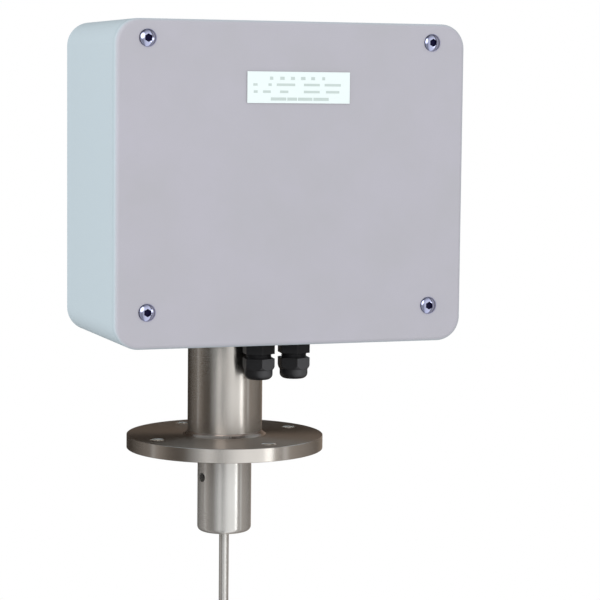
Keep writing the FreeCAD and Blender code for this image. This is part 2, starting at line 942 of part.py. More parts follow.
def make_guide_tube():
    """The vent hole is in line with one of the flange's bolt holes."""
    body = new_body("guide_tube")
    outside = d.guide_diameter / 2
    bore = d.guide_bore / 2
    lip_bore = d.guide_lip_bore / 2
    lip_top = d.guide_lip - d.guide_length
    tube = revolve(
        body,
        [
            (bore, d.flange_thickness),
            (outside, d.flange_thickness),
            (outside, -d.guide_length),
            (lip_bore, -d.guide_length),
            (lip_bore, lip_top),
            (bore, lip_top),
        ],
    )
    lower_edge = edges_in_plane(tube.Shape, "Z", -d.guide_length.value, outside.value)
    round_edges(body, tube, lower_edge, d.guide_round)
    vent = new_sketch(body, "YZ_Plane", -outside, [circle(zero, -d.vent_drop, d.vent_diameter / 2)])
    hole = add_feature(body, "Pocket", vent, outside)
    hole.Reversed = True
    doc.recompute()
    turn_about_z(body, d.flange_angle)
    passage = d.rod_diameter / 2 + d.bush_clearance
    bush = bore - d.fit_clearance
    bush_top = lip_top + d.bush_length
    turned("guide_bush", [(passage, lip_top), (bush, lip_top), (bush, bush_top), (passage, bush_top)])


# Cable glands


def gland_hexagon(flats, height, x, z):
    """A hexagon with its corners turned down to a circle, as on a nut made from bar."""
    prism = hex_prism(flats, height, x, gland_y, z)
    turn_about_z(prism, d.gland_angle)
    return shared(prism, cylinder(d.gland_round / 2, height, x, gland_y, z))


def make_gland(side, x):
    """One gland, from the box floor down: collar, thread, cap nut with bevelled corners, rubber seal."""
    thread = d.gland_thread / 2
    seat = d.seal_diameter / 2
    collar_low = box_bottom - d.collar_height
    cap_top = collar_low - d.gland_gap
    cap_hex_low = cap_top - d.cap_hex_height
    cap_low = cap_hex_low - d.cap_skirt_height
    body_low = cap_hex_low + d.cap_slack
    body_top = floor + d.gland_nut_height + d.gland_entry_proud
    seal_low = cap_low + d.cap_lip
    seal_top = seal_low + d.seal_length

    collar = gland_hexagon(d.gland_flats, d.collar_height, x, collar_low)
    barrel = cylinder(thread, body_top - body_low, x, gland_y, body_low)
    passage = cylinder(d.gland_bore / 2, body_top - body_low, x, gland_y, body_low)
    seal_seat = cylinder(seat + d.fit_clearance, seal_top + d.rest_gap - body_low, x, gland_y, body_low)
    node(less(fused(collar, barrel), passage, seal_seat), "gland_body_" + side)

    crown = ball(d.gland_round / 2 + d.cap_crown, x, gland_y, cap_top)
    hexagonal = shared(gland_hexagon(d.gland_flats, d.cap_hex_height, x, cap_hex_low), crown)
    skirt_radius = d.cap_skirt_diameter / 2
    edge_radius = skirt_radius - d.cap_round
    edge_top = cap_low + d.cap_round
    skirt = cylinder(skirt_radius, cap_hex_low - edge_top, x, gland_y, edge_top)
    skirt_edge = torus(edge_radius, d.cap_round, x, gland_y, edge_top)
    skirt_core = cylinder(edge_radius, cap_hex_low - cap_low, x, gland_y, cap_low)
    cap_thread = cylinder(thread + d.thread_clearance, d.cap_hex_height, x, gland_y, cap_hex_low)
    cavity = cylinder(seat + d.fit_clearance, cap_hex_low - seal_low, x, gland_y, seal_low)
    mouth = cylinder(d.cap_mouth / 2, cap_top - cap_low, x, gland_y, cap_low)
    node(less(fused(hexagonal, skirt, skirt_edge, skirt_core), cap_thread, cavity, mouth), "gland_nut_" + side)

    seal_bore = d.seal_bore / 2
    ring = [(seal_bore, seal_low), (seat, seal_low), (seat, seal_top), (seal_bore, seal_top)]
    turned("gland_seal_" + side, ring, x, gland_y)

    inner_nut = gland_hexagon(d.gland_nut_flats, d.gland_nut_height, x, floor)
    nut_thread = cylinder(thread + d.thread_clearance, d.gland_nut_height, x, gland_y, floor)
    node(less(inner_nut, nut_thread), "gland_locknut_" + side)


# Mechanism frame


def make_frame():
    stud_hole = d.stud_diameter / 2 + d.running_clearance
    outline = rectangle(frame_left, frame_right, frame_low, frame_high)
    bush_hole = circle(drum_x, drum_z, d.drum_bush_radius + d.fit_clearance)
    pin_hole = circle(pivot_x, pivot_z, d.pivot_pin_diameter / 2 + d.fit_clearance)
    stud_holes = [circle(x, z, stud_hole) for x, z in pillar_places]

    front = new_body("frame_plate_front")
    pad_y(front, [outline], plate_front, plate_back)
    holes = stud_holes + [bush_hole, pin_hole]
    holes.append(circle(pinion_x, drum_z, d.motor_shaft_diameter))
    holes.append(circle(zero, sensor_z, d.sensor_diameter / 2 + d.running_clearance))
    holes.append(circle(*spring_stud_place(), d.spring_stud_radius + d.fit_clearance))
    screw_hole = d.motor_screw_diameter / 2 + d.running_clearance
    holes += [circle(x, z, screw_hole) for x, z in motor_screw_places()]
    pocket_y(front, holes, plate_front, plate_back)

    rear = new_body("frame_plate_rear")
    pad_y(rear, [outline], rear_plate_front, rear_plate_back)
    motor_hole = circle(pinion_x, drum_z, d.motor_opening)
    pocket_y(rear, stud_holes + [bush_hole, pin_hole, motor_hole], rear_plate_front, rear_plate_back)

    pillars = new_body("frame_pillars")
    radius = d.pillar_diameter / 2
    stud = d.stud_diameter / 2
    thread = stud + d.thread_clearance
    stud_front = plate_front - d.stud_proud
    blind = rear_plate_front - d.stud_reach - d.rest_gap
    pad_y(pillars, [circle(x, z, radius) for x, z in pillar_places], plate_back, rear_plate_front)
    pad_y(pillars, [circle(x, z, stud) for x, z in pillar_places], stud_front, plate_back)
    pocket_y(pillars, [circle(x, z, thread) for x, z in pillar_places], blind, rear_plate_front)

    standoffs = new_body("frame_standoffs")
    pad_y(standoffs, [circle(x, z, radius) for x, z in pillar_places], rear_plate_back, inner_back)
    pad_y(standoffs, [circle(x, z, stud) for x, z in pillar_places], rear_plate_front - d.stud_reach, rear_plate_back)

    nuts = new_body("frame_nuts")
    nut_front = plate_front - d.frame_nut_height
    pad_y(nuts, [hexagon(x, z, d.frame_nut_flats) for x, z in pillar_places], nut_front, plate_front)
    pocket_y(nuts, [circle(x, z, thread) for x, z in pillar_places], nut_front, plate_front)


# Drum, gears and motor


def make_drum_bush(name, barrel_start, barrel_end, flange_start, flange_end):
    bore = d.shaft_diameter / 2 + d.running_clearance
    barrel = cylinder(d.drum_bush_radius, barrel_end - barrel_start, drum_x, barrel_start, drum_z, "y")
    flange = cylinder(d.drum_bush_flange_radius, flange_end - flange_start, drum_x, flange_start, drum_z, "y")
    start = barrel_start if barrel_start.value < flange_start.value else flange_start
    length = d.sheet_thickness + d.drum_bush_flange
    hole = cylinder(bore, length, drum_x, start, drum_z, "y")
    node(less(fused(barrel, flange), hole), name)


def make_drum():
    shaft = d.shaft_diameter / 2
    bore = shaft + d.fit_clearance
    front_flange = plate_back + d.drum_bush_flange
    rear_flange = rear_plate_front - d.drum_bush_flange
    make_drum_bush("drum_bush_front", plate_front, plate_back, plate_back, front_flange)
    make_drum_bush("drum_bush_rear", rear_plate_front, rear_plate_back, rear_flange, rear_plate_front)

    hub_front = front_flange + d.rest_gap
    hub_back = rear_flange - d.rest_gap
    barrel_front = -(d.rope_pitch / 2 + d.drum_margin)
    barrel_back = d.rope_pitch * d.rope_turns - d.rope_pitch / 2 + d.drum_margin
    flange_front = barrel_front - d.drum_flange_thickness
    flange_back = barrel_back + d.drum_flange_thickness
    barrel = d.drum_radius - d.rope_diameter / 2
    inside = barrel - d.drum_wall
    web_front = (barrel_front + barrel_back) / 2 - d.drum_web / 2
    web_back = web_front + d.drum_web
    hub = d.hub_radius
    turned(
        "rope_drum",
        [
            (bore, hub_front),
            (hub, hub_front),
            (hub, web_front),
            (inside, web_front),
            (inside, flange_front),
            (d.drum_flange_radius, flange_front),
            (d.drum_flange_radius, barrel_front),
            (barrel, barrel_front),
            (barrel, barrel_back),
            (d.drum_flange_radius, barrel_back),
            (d.drum_flange_radius, flange_back),
            (inside, flange_back),
            (inside, web_back),
            (hub, web_back),
            (hub, hub_back),
            (bore, hub_back),
        ],
        drum_x,
        zero,
        drum_z,
        "y",
    )
    winding = ridged_sleeve(
        barrel.value + d.fit_clearance.value,
        d.drum_radius.value,
        d.rope_diameter.value / 2,
        d.rope_pitch.value,
        int(d.rope_turns.value),
    )
    node(shape_feature(winding, drum_x, zero, drum_z, "y"), "rope_winding")

    disc_front = rear_plate_back + d.rest_gap + d.disc_hub_length
    disc_back = disc_front + d.magnet_disc_thickness
    collar_back = disc_back + d.collar_length
    shaft_front = gear_front - d.shaft_end
    shaft_length = collar_back + d.shaft_end - shaft_front
    node(cylinder(shaft, shaft_length, drum_x, shaft_front, drum_z, "y"), "drum_shaft")

    disc = cylinder(d.magnet_disc_radius, d.magnet_disc_thickness, drum_x, disc_front, drum_z, "y")
    disc_hub = cylinder(d.disc_hub_radius, d.disc_hub_length, drum_x, disc_front - d.disc_hub_length, drum_z, "y")
    disc_length = d.disc_hub_length + d.magnet_disc_thickness
    disc_bore = cylinder(bore, disc_length, drum_x, disc_front - d.disc_hub_length, drum_z, "y")
    pockets = ring_of_holes(d.magnets, d.magnet_circle, d.magnet_radius, disc_front, d.magnet_disc_thickness)
    node(less(fused(disc, disc_hub), disc_bore, *pockets), "magnet_disc")
    collar = cylinder(d.collar_radius, d.collar_length, drum_x, disc_back, drum_z, "y")
    collar_bore = cylinder(bore, d.collar_length, drum_x, disc_back, drum_z, "y")
    node(less(collar, collar_bore), "shaft_collar")


def ring_of_holes(count, ring_radius, hole_radius, front, depth):
    """Equal holes on a ring about the drum's axis."""
    holes = []
    for number in range(int(count.value)):
        angle = "(%d * 360 deg / %s)" % (number, count.text)
        turn = 2 * math.pi * number / count.value
        across = ring_radius * Size("cos(%s)" % angle, math.cos(turn))
        up = ring_radius * Size("sin(%s)" % angle, math.sin(turn))
        holes.append(cylinder(hole_radius, depth, drum_x + across, front, drum_z + up, "y"))
    return holes


def make_gears():
    bore = d.shaft_diameter / 2 + d.fit_clearance
    angle = math.radians(d.pressure_angle.value)
    module, width, backlash = d.gear_module.value, d.gear_width.value, d.backlash.value
    hub_length = d.gear_gap - d.rest_gap

    teeth = gear_blank(module, int(d.gear_teeth.value), width, angle, backlash, 0.0)
    rim = shape_feature(teeth, drum_x, gear_front, drum_z, "y")
    hub = cylinder(d.gear_hub_radius, hub_length, drum_x, gear_back, drum_z, "y")
    hole = cylinder(bore, d.gear_width + hub_length, drum_x, gear_front, drum_z, "y")
    lightening = ring_of_holes(d.gear_holes, d.gear_hole_circle, d.gear_hole_radius, gear_front, d.gear_width)
    node(less(fused(rim, hub), hole, *lightening), "drum_gear")

    count = int(d.pinion_teeth.value)
    teeth = gear_blank(module, count, width, angle, backlash, math.pi / count)
    rim = shape_feature(teeth, pinion_x, gear_front, drum_z, "y")
    shaft = d.motor_shaft_diameter / 2
    hole = cylinder(shaft + d.fit_clearance, d.gear_width, pinion_x, gear_front, drum_z, "y")
    node(less(rim, hole), "drive_pinion")
    shaft_front = gear_front - d.shaft_end
    shaft_back = plate_back + d.motor_shaft_depth - d.rest_gap
    node(cylinder(shaft, shaft_back - shaft_front, pinion_x, shaft_front, drum_z, "y"), "motor_shaft")


def motor_screw_places():
    half = d.motor_screw_pitch / 2
    return [(pinion_x + half * side, drum_z + half * level) for side in (-1, 1) for level in (-1, 1)]


def make_motor():
    gearhead = new_body("motor_gearhead")
    half = d.gearhead_size / 2
    gearhead_back = plate_back + d.gearhead_length
    case = rounded(pinion_x - half, pinion_x + half, drum_z - half, drum_z + half, d.gearhead_corner)
    pad_y(gearhead, [case], plate_back, gearhead_back)
    bearing = circle(pinion_x, drum_z, d.motor_shaft_diameter / 2 + d.running_clearance)
    pocket_y(gearhead, [bearing], plate_back, plate_back + d.motor_shaft_depth)
    screw_thread = d.motor_screw_diameter / 2 + d.thread_clearance
    threads = [circle(x, z, screw_thread) for x, z in motor_screw_places()]
    pocket_y(gearhead, threads, plate_back, plate_back + d.motor_screw_reach + d.rest_gap)

    radius = d.motor_diameter / 2
    node(cylinder(radius, d.motor_length, pinion_x, gearhead_back, drum_z, "y"), "motor_body")

    screws = new_body("motor_screws")
    head_front = plate_front - d.motor_screw_head_height
    shanks = [circle(x, z, d.motor_screw_diameter / 2) for x, z in motor_screw_places()]
    heads = [circle(x, z, d.motor_screw_head / 2) for x, z in motor_screw_places()]
    pad_y(screws, heads, head_front, plate_front)
    pad_y(screws, shanks, plate_front, plate_back + d.motor_screw_reach)


def make_capacitor():
    """A can that stands upright in a sheet clip on the front plate."""
    can_radius = d.capacitor_diameter / 2
    clip_bore = can_radius + d.fit_clearance
    clip_radius = clip_bore + d.clip_thickness
    can_y = plate_front - clip_radius
    can_x = pinion_x + d.gearhead_size / 4
    can_low = block_high + d.capacitor_gap
    clip_low = can_low + d.capacitor_length / 2 - d.clip_height / 2
    node(cylinder(can_radius, d.capacitor_length, can_x, can_y, can_low), "motor_capacitor")
    band = cylinder(clip_radius, d.clip_height, can_x, can_y, clip_low)
    foot = block(
        can_x - clip_radius - d.clip_foot,
        can_x + clip_bore,
        plate_front - d.clip_thickness,
        plate_front,
        clip_low,
        clip_low + d.clip_height,
    )
    hole = cylinder(clip_bore, d.clip_height, can_x, can_y, clip_low)
    node(less(fused(band, foot), hole), "capacitor_clip")


# Slack-rope arm, its spring and its switch


def spring_top_leg():
    """Height of the spring's upper leg above the pivot: the mean radius of its coil."""
    return d.pivot_pin_diameter / 2 + d.rest_gap + d.spring_wire / 2


def spring_stud_place():
    x = pivot_x - d.spring_leg + d.spring_stud_radius * 2
    z = pivot_z + spring_top_leg() + d.spring_wire / 2 + d.rest_gap + d.spring_stud_radius
    return x, z


def make_slack_arm():
    half = d.arm_half_width
    bar = new_body("slack_arm")
    link = polygon(
        [
            (pivot_x - half, pivot_z),
            (roller_x - half, roller_z),
            (roller_x + half, roller_z),
            (pivot_x + half, pivot_z),
        ]
    )
    hub_back = arm_front + d.arm_hub_length
    pad_y(bar, [link], arm_front, arm_back)
    pad_y(bar, [circle(roller_x, roller_z, half)], arm_front, arm_back)
    pad_y(bar, [circle(pivot_x, pivot_z, d.arm_hub_radius)], arm_front, hub_back)
    pad_y(bar, [rectangle(pivot_x - d.tail_reach, pivot_x, tail_low, tail_top)], arm_front, arm_back)
    pad_y(bar, [circle(post_x(), pivot_z - d.post_drop, d.post_radius)], arm_front, hub_back + d.spring_wire * 2)
    pocket_y(bar, [circle(pivot_x, pivot_z, d.pivot_pin_diameter / 2 + d.running_clearance)], arm_front, hub_back)
    axle_hole = circle(roller_x, roller_z, d.axle_diameter / 2 + d.fit_clearance)
    pocket_y(bar, [axle_hole], arm_front, arm_back)

    pin_radius = d.pivot_pin_diameter / 2
    pin_length = rear_plate_back - plate_front
    node(cylinder(pin_radius, pin_length, pivot_x, plate_front, pivot_z, "y"), "arm_pivot_pin")

    axle = d.axle_diameter / 2
    half_roller = d.roller_width / 2
    shoulder_back = -(half_roller + d.rest_gap)
    head_front = half_roller + d.rest_gap
    turned(
        "roller_axle",
        [
            (zero, arm_front),
            (axle, arm_front),
            (axle, arm_back),
            (d.axle_head_radius, arm_back),
            (d.axle_head_radius, shoulder_back),
            (axle, shoulder_back),
            (axle, head_front),
            (d.axle_head_radius, head_front),
            (d.axle_head_radius, head_front + d.axle_head),
            (zero, head_front + d.axle_head),
        ],
        roller_x,
        zero,
        roller_z,
        "y",
    )
    bore = axle + d.running_clearance
    groove = d.roller_groove / 2
    groove_edge = groove + d.roller_rim - d.roller_radius
    turned(
        "slack_roller",
        [
            (bore, -half_roller),
            (d.roller_rim, -half_roller),
            (d.roller_rim, -groove_edge),
            (d.roller_radius, -groove),
            (d.roller_radius, groove),
            (d.roller_rim, groove_edge),
            (d.roller_rim, half_roller),
            (bore, half_roller),
        ],
        roller_x,
        zero,
        roller_z,
        "y",
    )


def post_x():
    """The spring post stands left of the arm's centre line."""
    return pivot_x + (roller_x - pivot_x) * d.post_drop / d.roller_drop - d.post_shift


def make_arm_spring():
    """A torsion spring on the pivot pin: one leg bears on the arm's post, the other on a stud of the frame."""
    wire = d.spring_wire / 2
    mean = spring_top_leg()
    coil_start = arm_front + d.arm_hub_length + d.rest_gap + wire
    coil_end = coil_start + d.spring_pitch * (d.spring_turns - 1)
    coil = ridged_sleeve(
        d.pivot_pin_diameter.value / 2 + d.rest_gap.value,
        mean.value,
        wire.value,
        d.spring_pitch.value,
        int(d.spring_turns.value),
    )
    turns = shape_feature(coil, pivot_x, coil_start, pivot_z, "y")
    leg_x = post_x() - d.post_radius - d.rest_gap - wire
    arm_leg = cylinder(wire, d.spring_leg, leg_x, coil_start, pivot_z - mean / 2 - d.spring_leg)
    stud_leg = cylinder(wire, d.spring_leg, pivot_x - d.spring_leg, coil_end, pivot_z + mean, "x")
    core = cylinder(d.pivot_pin_diameter / 2 + d.rest_gap, coil_end - coil_start + wire * 4,
                    pivot_x, coil_start - wire * 2, pivot_z, "y")
    node(less(fused(turns, arm_leg, stud_leg), core), "arm_spring")
    stud_x, stud_z = spring_stud_place()
    stud_length = coil_end + d.spring_wire - plate_front
    node(cylinder(d.spring_stud_radius, stud_length, stud_x, plate_front, stud_z, "y"), "spring_stud")


def make_slack_switch():
    switch_right = switch_left + d.switch_length
    switch_low = switch_top - d.switch_height
    case = new_body("switch_body")
    case_back = plate_back + d.switch_thickness
    pad_y(case, [rectangle(switch_left, switch_right, switch_low, switch_top)], plate_back, case_back)
    bore = d.plunger_diameter / 2 + d.running_clearance
    plunger_low = plunger_top - d.plunger_length
    pocket_z(case, [circle(plunger_x, plunger_y, bore)], plunger_low - d.plunger_room, switch_top)
    node(cylinder(d.plunger_diameter / 2, d.plunger_length, plunger_x, plunger_y, plunger_low), "switch_plunger")


# Sensors, board and terminals


def make_sensors():
    radius = d.sensor_diameter / 2
    face = -(d.terminal_diameter / 2 + d.sensor_gap)
    node(cylinder(radius, d.sensor_length, zero, face - d.sensor_length, sensor_z, "y"), "limit_sensor")
    nuts = new_body("limit_sensor_nuts")
    height = d.sensor_nut_height
    thread = circle(zero, sensor_z, radius + d.thread_clearance)
    pad_y(nuts, [hexagon(zero, sensor_z, d.sensor_nut_flats)], plate_front - height, plate_front)
    pad_y(nuts, [hexagon(zero, sensor_z, d.sensor_nut_flats)], plate_back, plate_back + height)
    pocket_y(nuts, [thread], plate_front - height, plate_back + height)

    half = d.hall_width / 2
    low = drum_z + d.magnet_disc_radius + d.hall_gap
    hall = block(
        drum_x - half,
        drum_x + half,
        rear_plate_back,
        rear_plate_back + d.hall_thickness,
        low,
        low + d.hall_height,
    )
    node(hall, "hall_sensor")


def make_control_board():
    """The board stands in front of the frame, between its nuts, with its transformer and relays on its face."""
    inset = d.board_inset
    left = standoff_columns[0] - inset
    right = standoff_columns[1] + inset
    low, high = board_low, board_high
    back = plate_front - d.standoff_length
    face = back - d.board_thickness
    board = new_body("control_board")
    pad_y(board, [rectangle(left, right, low, high)], face, back)
    centre = (low + high) / 2
    half = d.transformer_height / 2
    start = left + inset * 3
    transformer = rectangle(start, start + d.transformer_width, centre - half, centre + half)
    pad_y(board, [transformer], face - d.transformer_tall, face)
    relays = []
    for number in range(int(d.relays.value)):
        relay_left = start + d.transformer_width + inset + d.relay_pitch * number
        relays.append(
            rectangle(relay_left, relay_left + d.relay_width, centre - d.relay_height / 2, centre + d.relay_height / 2)
        )
    pad_y(board, relays, face - d.relay_tall, face)

    corners = [(x, z) for x in standoff_columns for z in (low + inset, high - inset)]
    standoffs = new_body("board_standoffs")
    pad_y(standoffs, [circle(x, z, d.standoff_diameter / 2) for x, z in corners], back, plate_front)


def make_terminals():
    """A hat rail on the box floor, with a row of screw terminals on its flanges."""
    front = cover_back + d.rail_setback
    back = front + d.rail_width
    brim = (d.rail_width - d.rail_crown) / 2
    top = block_low
    wall = d.rail_sheet
    rail = new_body("terminal_rail")
    hat = [
        (front + brim, floor),
        (back - brim, floor),
        (back - brim, top - wall),
        (back, top - wall),
        (back, top),
        (back - brim - wall, top),
        (back - brim - wall, floor + wall),
        (front + brim + wall, floor + wall),
        (front + brim + wall, top),
        (front, top),
        (front, top - wall),
        (front + brim, top - wall),
    ]
    row = d.terminal_pitch * d.terminal_poles
    left = rail_start + d.rail_margin
    pad_x(rail, [polygon(hat)], rail_start, left + row + d.rail_margin)

    middle = (front + back) / 2
    half = d.rail_width / 2
    crest = d.terminal_width / 2
    high = block_high
    shoulder = top + d.terminal_height / 2
    terminals = new_body("terminal_block")
    section = [
        (middle - half, top),
        (middle + half, top),
        (middle + half, shoulder),
        (middle + crest, high),
        (middle - crest, high),
        (middle - half, shoulder),
    ]
    pad_x(terminals, [polygon(section)], left, left + row)
    poles = [left + d.terminal_pitch * (number + 0.5) for number in range(int(d.terminal_poles.value))]
    screws = []
    for side in (-1, 1):
        across = middle + crest / 2 * side
        screws += [circle(x, across, d.terminal_screw / 2) for x in poles]
    pocket_z(terminals, screws, high - d.terminal_entry_depth, high)
    entry = top + d.terminal_height / 4
    mouths = [circle(x, entry, d.terminal_entry / 2) for x in poles]
    pocket_y(terminals, mouths, middle - half, middle - half + d.terminal_entry_depth)
    pocket_y(terminals, mouths, middle + half - d.terminal_entry_depth, middle + half)


# Sensing weight


def make_weight():
    rod = d.rod_diameter / 2
    spigot = d.rod_spigot_diameter / 2
    bob_top = -d.bob_top
    rod_low = bob_top - d.rod_seat
    spigot_top = rod_top + d.rod_spigot
    turned(
        "hanger_rod",
        [(zero, rod_low), (rod, rod_low), (rod, rod_top), (spigot, rod_top), (spigot, spigot_top), (zero, spigot_top)],
    )
    socket = turned_socket_profile(spigot + d.fit_clearance, spigot_top + d.rest_gap)
    turned("rope_terminal", socket)

    bore = rod + d.fit_clearance
    neck_low = bob_top - d.bob_neck
    shoulder_low = neck_low - d.bob_shoulder
    body_low = shoulder_low - d.bob_body
    tip = body_low - d.bob_cone
    bore_low = rod_low - d.rest_gap
    turned(
        "plumb_bob",
        [
            (bore, bob_top),
            (d.bob_neck_diameter / 2, bob_top),
            (d.bob_neck_diameter / 2, neck_low),
            (d.bob_diameter / 2, shoulder_low),
            (d.bob_diameter / 2, body_low),
            (d.bob_tip_diameter / 2, tip),
            (zero, tip),
            (zero, bore_low),
            (bore, bore_low),
        ],
    )
    nut = hex_prism(d.bob_nut_flats, d.bob_nut_height, zero, zero, bob_top)
    node(less(nut, cylinder(bore, d.bob_nut_height, zero, zero, bob_top)), "bob_locknut")

    rope = cylinder(d.rope_diameter / 2, drum_z - rope_foot, zero, zero, rope_foot)
    winding = d.drum_radius + d.rope_diameter / 2 + d.rest_gap
    barrel = cylinder(winding, d.rope_diameter * 4, drum_x, -(d.rope_diameter * 2), drum_z, "y")
    node(less(rope, barrel), "wire_rope")


def turned_socket_profile(stud_bore, stud_room_top):
    """The rope terminal: a blind bore for the rod's spigot below and one for the rope above."""
    outside = d.terminal_diameter / 2
    rope_bore = d.rope_diameter / 2 + d.fit_clearance
    return [
        (stud_bore, rod_top),
        (outside, rod_top),
        (outside, terminal_top),
        (rope_bore, terminal_top),
        (rope_bore, rope_foot),
        (zero, rope_foot),
        (zero, stud_room_top),
        (stud_bore, stud_room_top),
    ]


make_housing_box()
make_front_cover()
make_cover_gasket()
make_cover_screws()
make_name_plate()
make_neck()
make_flange()
make_guide_tube()
for gland_side, gland_x in zip(("left", "right"), gland_places):
    make_gland(gland_side, gland_x)
make_frame()
make_drum()
make_gears()
make_motor()
make_capacitor()
make_slack_arm()
make_arm_spring()
make_slack_switch()
make_sensors()
make_control_board()
make_terminals()
make_weight()
doc.recompute()

for item in doc.Objects:
    if "Invalid" in item.State or "Error" in item.State:
        raise RuntimeError("%s (%s) failed: %s" % (item.Name, item.Label, item.State))
os.makedirs("parts", exist_ok=True)
for item in nodes:
    if item.Shape.isNull() or not item.Shape.isValid() or not item.Shape.Solids:
        raise RuntimeError("%s has no valid solid" % item.Label)
    item.Shape.exportStep("parts/%s.step" % item.Label)
    box = item.Shape.BoundBox
    print(
        "%-20s solids %2d volume %10.1f  x %7.1f %7.1f  y %7.1f %7.1f  z %7.1f %7.1f"
        % (item.Label, len(item.Shape.Solids), item.Shape.Volume, box.XMin, box.XMax, box.YMin, box.YMax, box.ZMin, box.ZMax)
    )
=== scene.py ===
"""Looks of a plumb bob level sensor: finishes, small surface pieces, studio light and camera."""

import json
import logging
import math
from dataclasses import dataclass
from enum import Enum
from typing import Any

import bmesh
import bpy
import numpy as np
from mathutils import Matrix, Vector


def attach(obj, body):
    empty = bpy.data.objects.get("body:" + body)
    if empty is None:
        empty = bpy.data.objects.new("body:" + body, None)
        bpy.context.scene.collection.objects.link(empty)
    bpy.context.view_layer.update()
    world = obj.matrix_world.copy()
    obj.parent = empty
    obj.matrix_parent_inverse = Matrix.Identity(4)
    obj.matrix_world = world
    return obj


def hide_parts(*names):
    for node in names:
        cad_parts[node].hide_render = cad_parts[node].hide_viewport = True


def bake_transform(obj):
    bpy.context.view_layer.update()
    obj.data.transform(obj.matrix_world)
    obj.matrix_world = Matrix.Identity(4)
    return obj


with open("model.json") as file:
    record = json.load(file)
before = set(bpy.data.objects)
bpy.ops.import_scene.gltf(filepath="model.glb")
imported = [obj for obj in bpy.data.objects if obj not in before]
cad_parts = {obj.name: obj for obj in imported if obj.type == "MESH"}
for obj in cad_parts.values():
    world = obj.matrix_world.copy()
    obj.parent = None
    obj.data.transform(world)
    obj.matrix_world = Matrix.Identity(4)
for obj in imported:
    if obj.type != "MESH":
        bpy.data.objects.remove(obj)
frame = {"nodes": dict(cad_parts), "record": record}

LOG = logging.getLogger("level_sensor")
MM = 0.001
PER_MM = 1000.0
MERGE_MM = 0.0001
QUARTER_TURN = 0.25
# The Mix node's colour sockets go by number, because several of its sockets share a name
MIX_FIRST, MIX_SECOND, MIX_RESULT = 6, 7, 2
# The drum's axis runs front to back, at this place across and up
DRUM_AXIS_MM = (45.0, 262.0)
# The rope's heights: off the drum, at the roller, just above the terminal, and its foot in the terminal
ROPE_HEIGHTS_MM = (256.0, 190.0, 162.0, 142.0)


def linear(colour: str) -> tuple[float, float, float, float]:
    """Turn an sRGB hex colour into linear light.

    Args:
        colour: Six hex digits after a hash sign.

    Returns:
        Red, green, blue and an alpha of one.
    """
    parts = (int(colour[start : start + 2], 16) / 255 for start in (1, 3, 5))
    red, green, blue = (
        part / 12.92 if part <= 0.04045 else ((part + 0.055) / 1.055) ** 2.4
        for part in parts
    )
    return red, green, blue, 1.0


def add_node(
    tree: bpy.types.NodeTree,
    kind: str,
    values: dict[Any, Any] | None = None,
    links: dict[Any, bpy.types.NodeSocket] | None = None,
    **settings: Any,
) -> bpy.types.Node:
    """Add one node with its settings, socket values and incoming links.

    Args:
        tree: The tree that takes the node.
        kind: Blender's name of the node type.
        values: Socket name or number to a fixed value.
        links: Socket name or number to the output that feeds it.
        settings: Properties of the node itself.

    Returns:
        The new node.
    """
    node = tree.nodes.new(kind)
    for name, value in settings.items():
        setattr(node, name, value)
    for socket, value in (values or {}).items():
        node.inputs[socket].default_value = value
    for socket, source in (links or {}).items():
        tree.links.new(source, node.inputs[socket])
    return node


def start_material(name: str) -> tuple[bpy.types.Material, bpy.types.NodeTree, bpy.types.NodeSocket]:
    """Start a material whose tree holds only the object's own coordinates.

    Args:
        name: The finish's common name.

    Returns:
        The material, its node tree and the output that gives places on the object.
    """
    material = bpy.data.materials.new(name)
    material.use_nodes = True
    tree = material.node_tree
    tree.nodes.clear()
    place = add_node(tree, "ShaderNodeTexCoord").outputs["Object"]
    return material, tree, place


def cloudy_tint(
    tree: bpy.types.NodeTree,
    place: bpy.types.NodeSocket,
    colours: tuple[str, str],
    size_mm: float,
    detail: float,
    roughness: float,
) -> tuple[bpy.types.NodeSocket, bpy.types.NodeSocket]:
    """Blend two colours in soft clouds.

    Args:
        tree: The tree that takes the nodes.
        place: The output that gives places on the object.
        colours: The two colours in hex digits.
        size_mm: The size of a cloud.
        detail: How many finer layers the clouds have.
        roughness: How much of each finer layer shows.

    Returns:
        The outputs of the clouds and of the blended colour.
    """
    clouds = add_node(
        tree,
        "ShaderNodeTexNoise",
        {"Scale": PER_MM / size_mm, "Detail": detail, "Roughness": roughness},
        {"Vector": place},
    )
    first, second = colours
    tint = add_node(
        tree,
        "ShaderNodeMix",
        {MIX_FIRST: linear(first), MIX_SECOND: linear(second)},
        {"Factor": clouds.outputs[0]},
        data_type="RGBA",
    )
    return clouds.outputs[0], tint.outputs[MIX_RESULT]


def facing_share(
    tree: bpy.types.NodeTree,
    direction: tuple[float, float, float],
    start: float,
    full: float,
    both_ways: bool = False,
) -> bpy.types.NodeSocket:
    """Find the faces of an object that look one way.

    Args:
        tree: The tree that takes the nodes.
        direction: The unit vector along which they look.
        start: The cosine to that direction at which the share starts to rise from nothing.
        full: The cosine at which it is one.
        both_ways: Whether faces that look the opposite way count too.

    Returns:
        The output of the share.
    """
    normal = add_node(tree, "ShaderNodeTexCoord").outputs["Normal"]
    turned = add_node(tree, "ShaderNodeVectorMath", {1: direction}, {0: normal}, operation="DOT_PRODUCT")
    cosine = turned.outputs["Value"]
    if both_ways:
        cosine = add_node(tree, "ShaderNodeMath", links={0: cosine}, operation="ABSOLUTE").outputs[0]
    share = add_node(tree, "ShaderNodeMapRange", {"From Min": start, "From Max": full}, {"Value": cosine})
    return share.outputs[0]


class Axis(Enum):
    """The direction that a grain or a turned shape runs along."""

    X = 0
    Y = 1
    Z = 2

    def unit(self) -> tuple[float, float, float]:
        """Give the unit vector along the axis."""
        return tuple(float(axis is self) for axis in Axis)


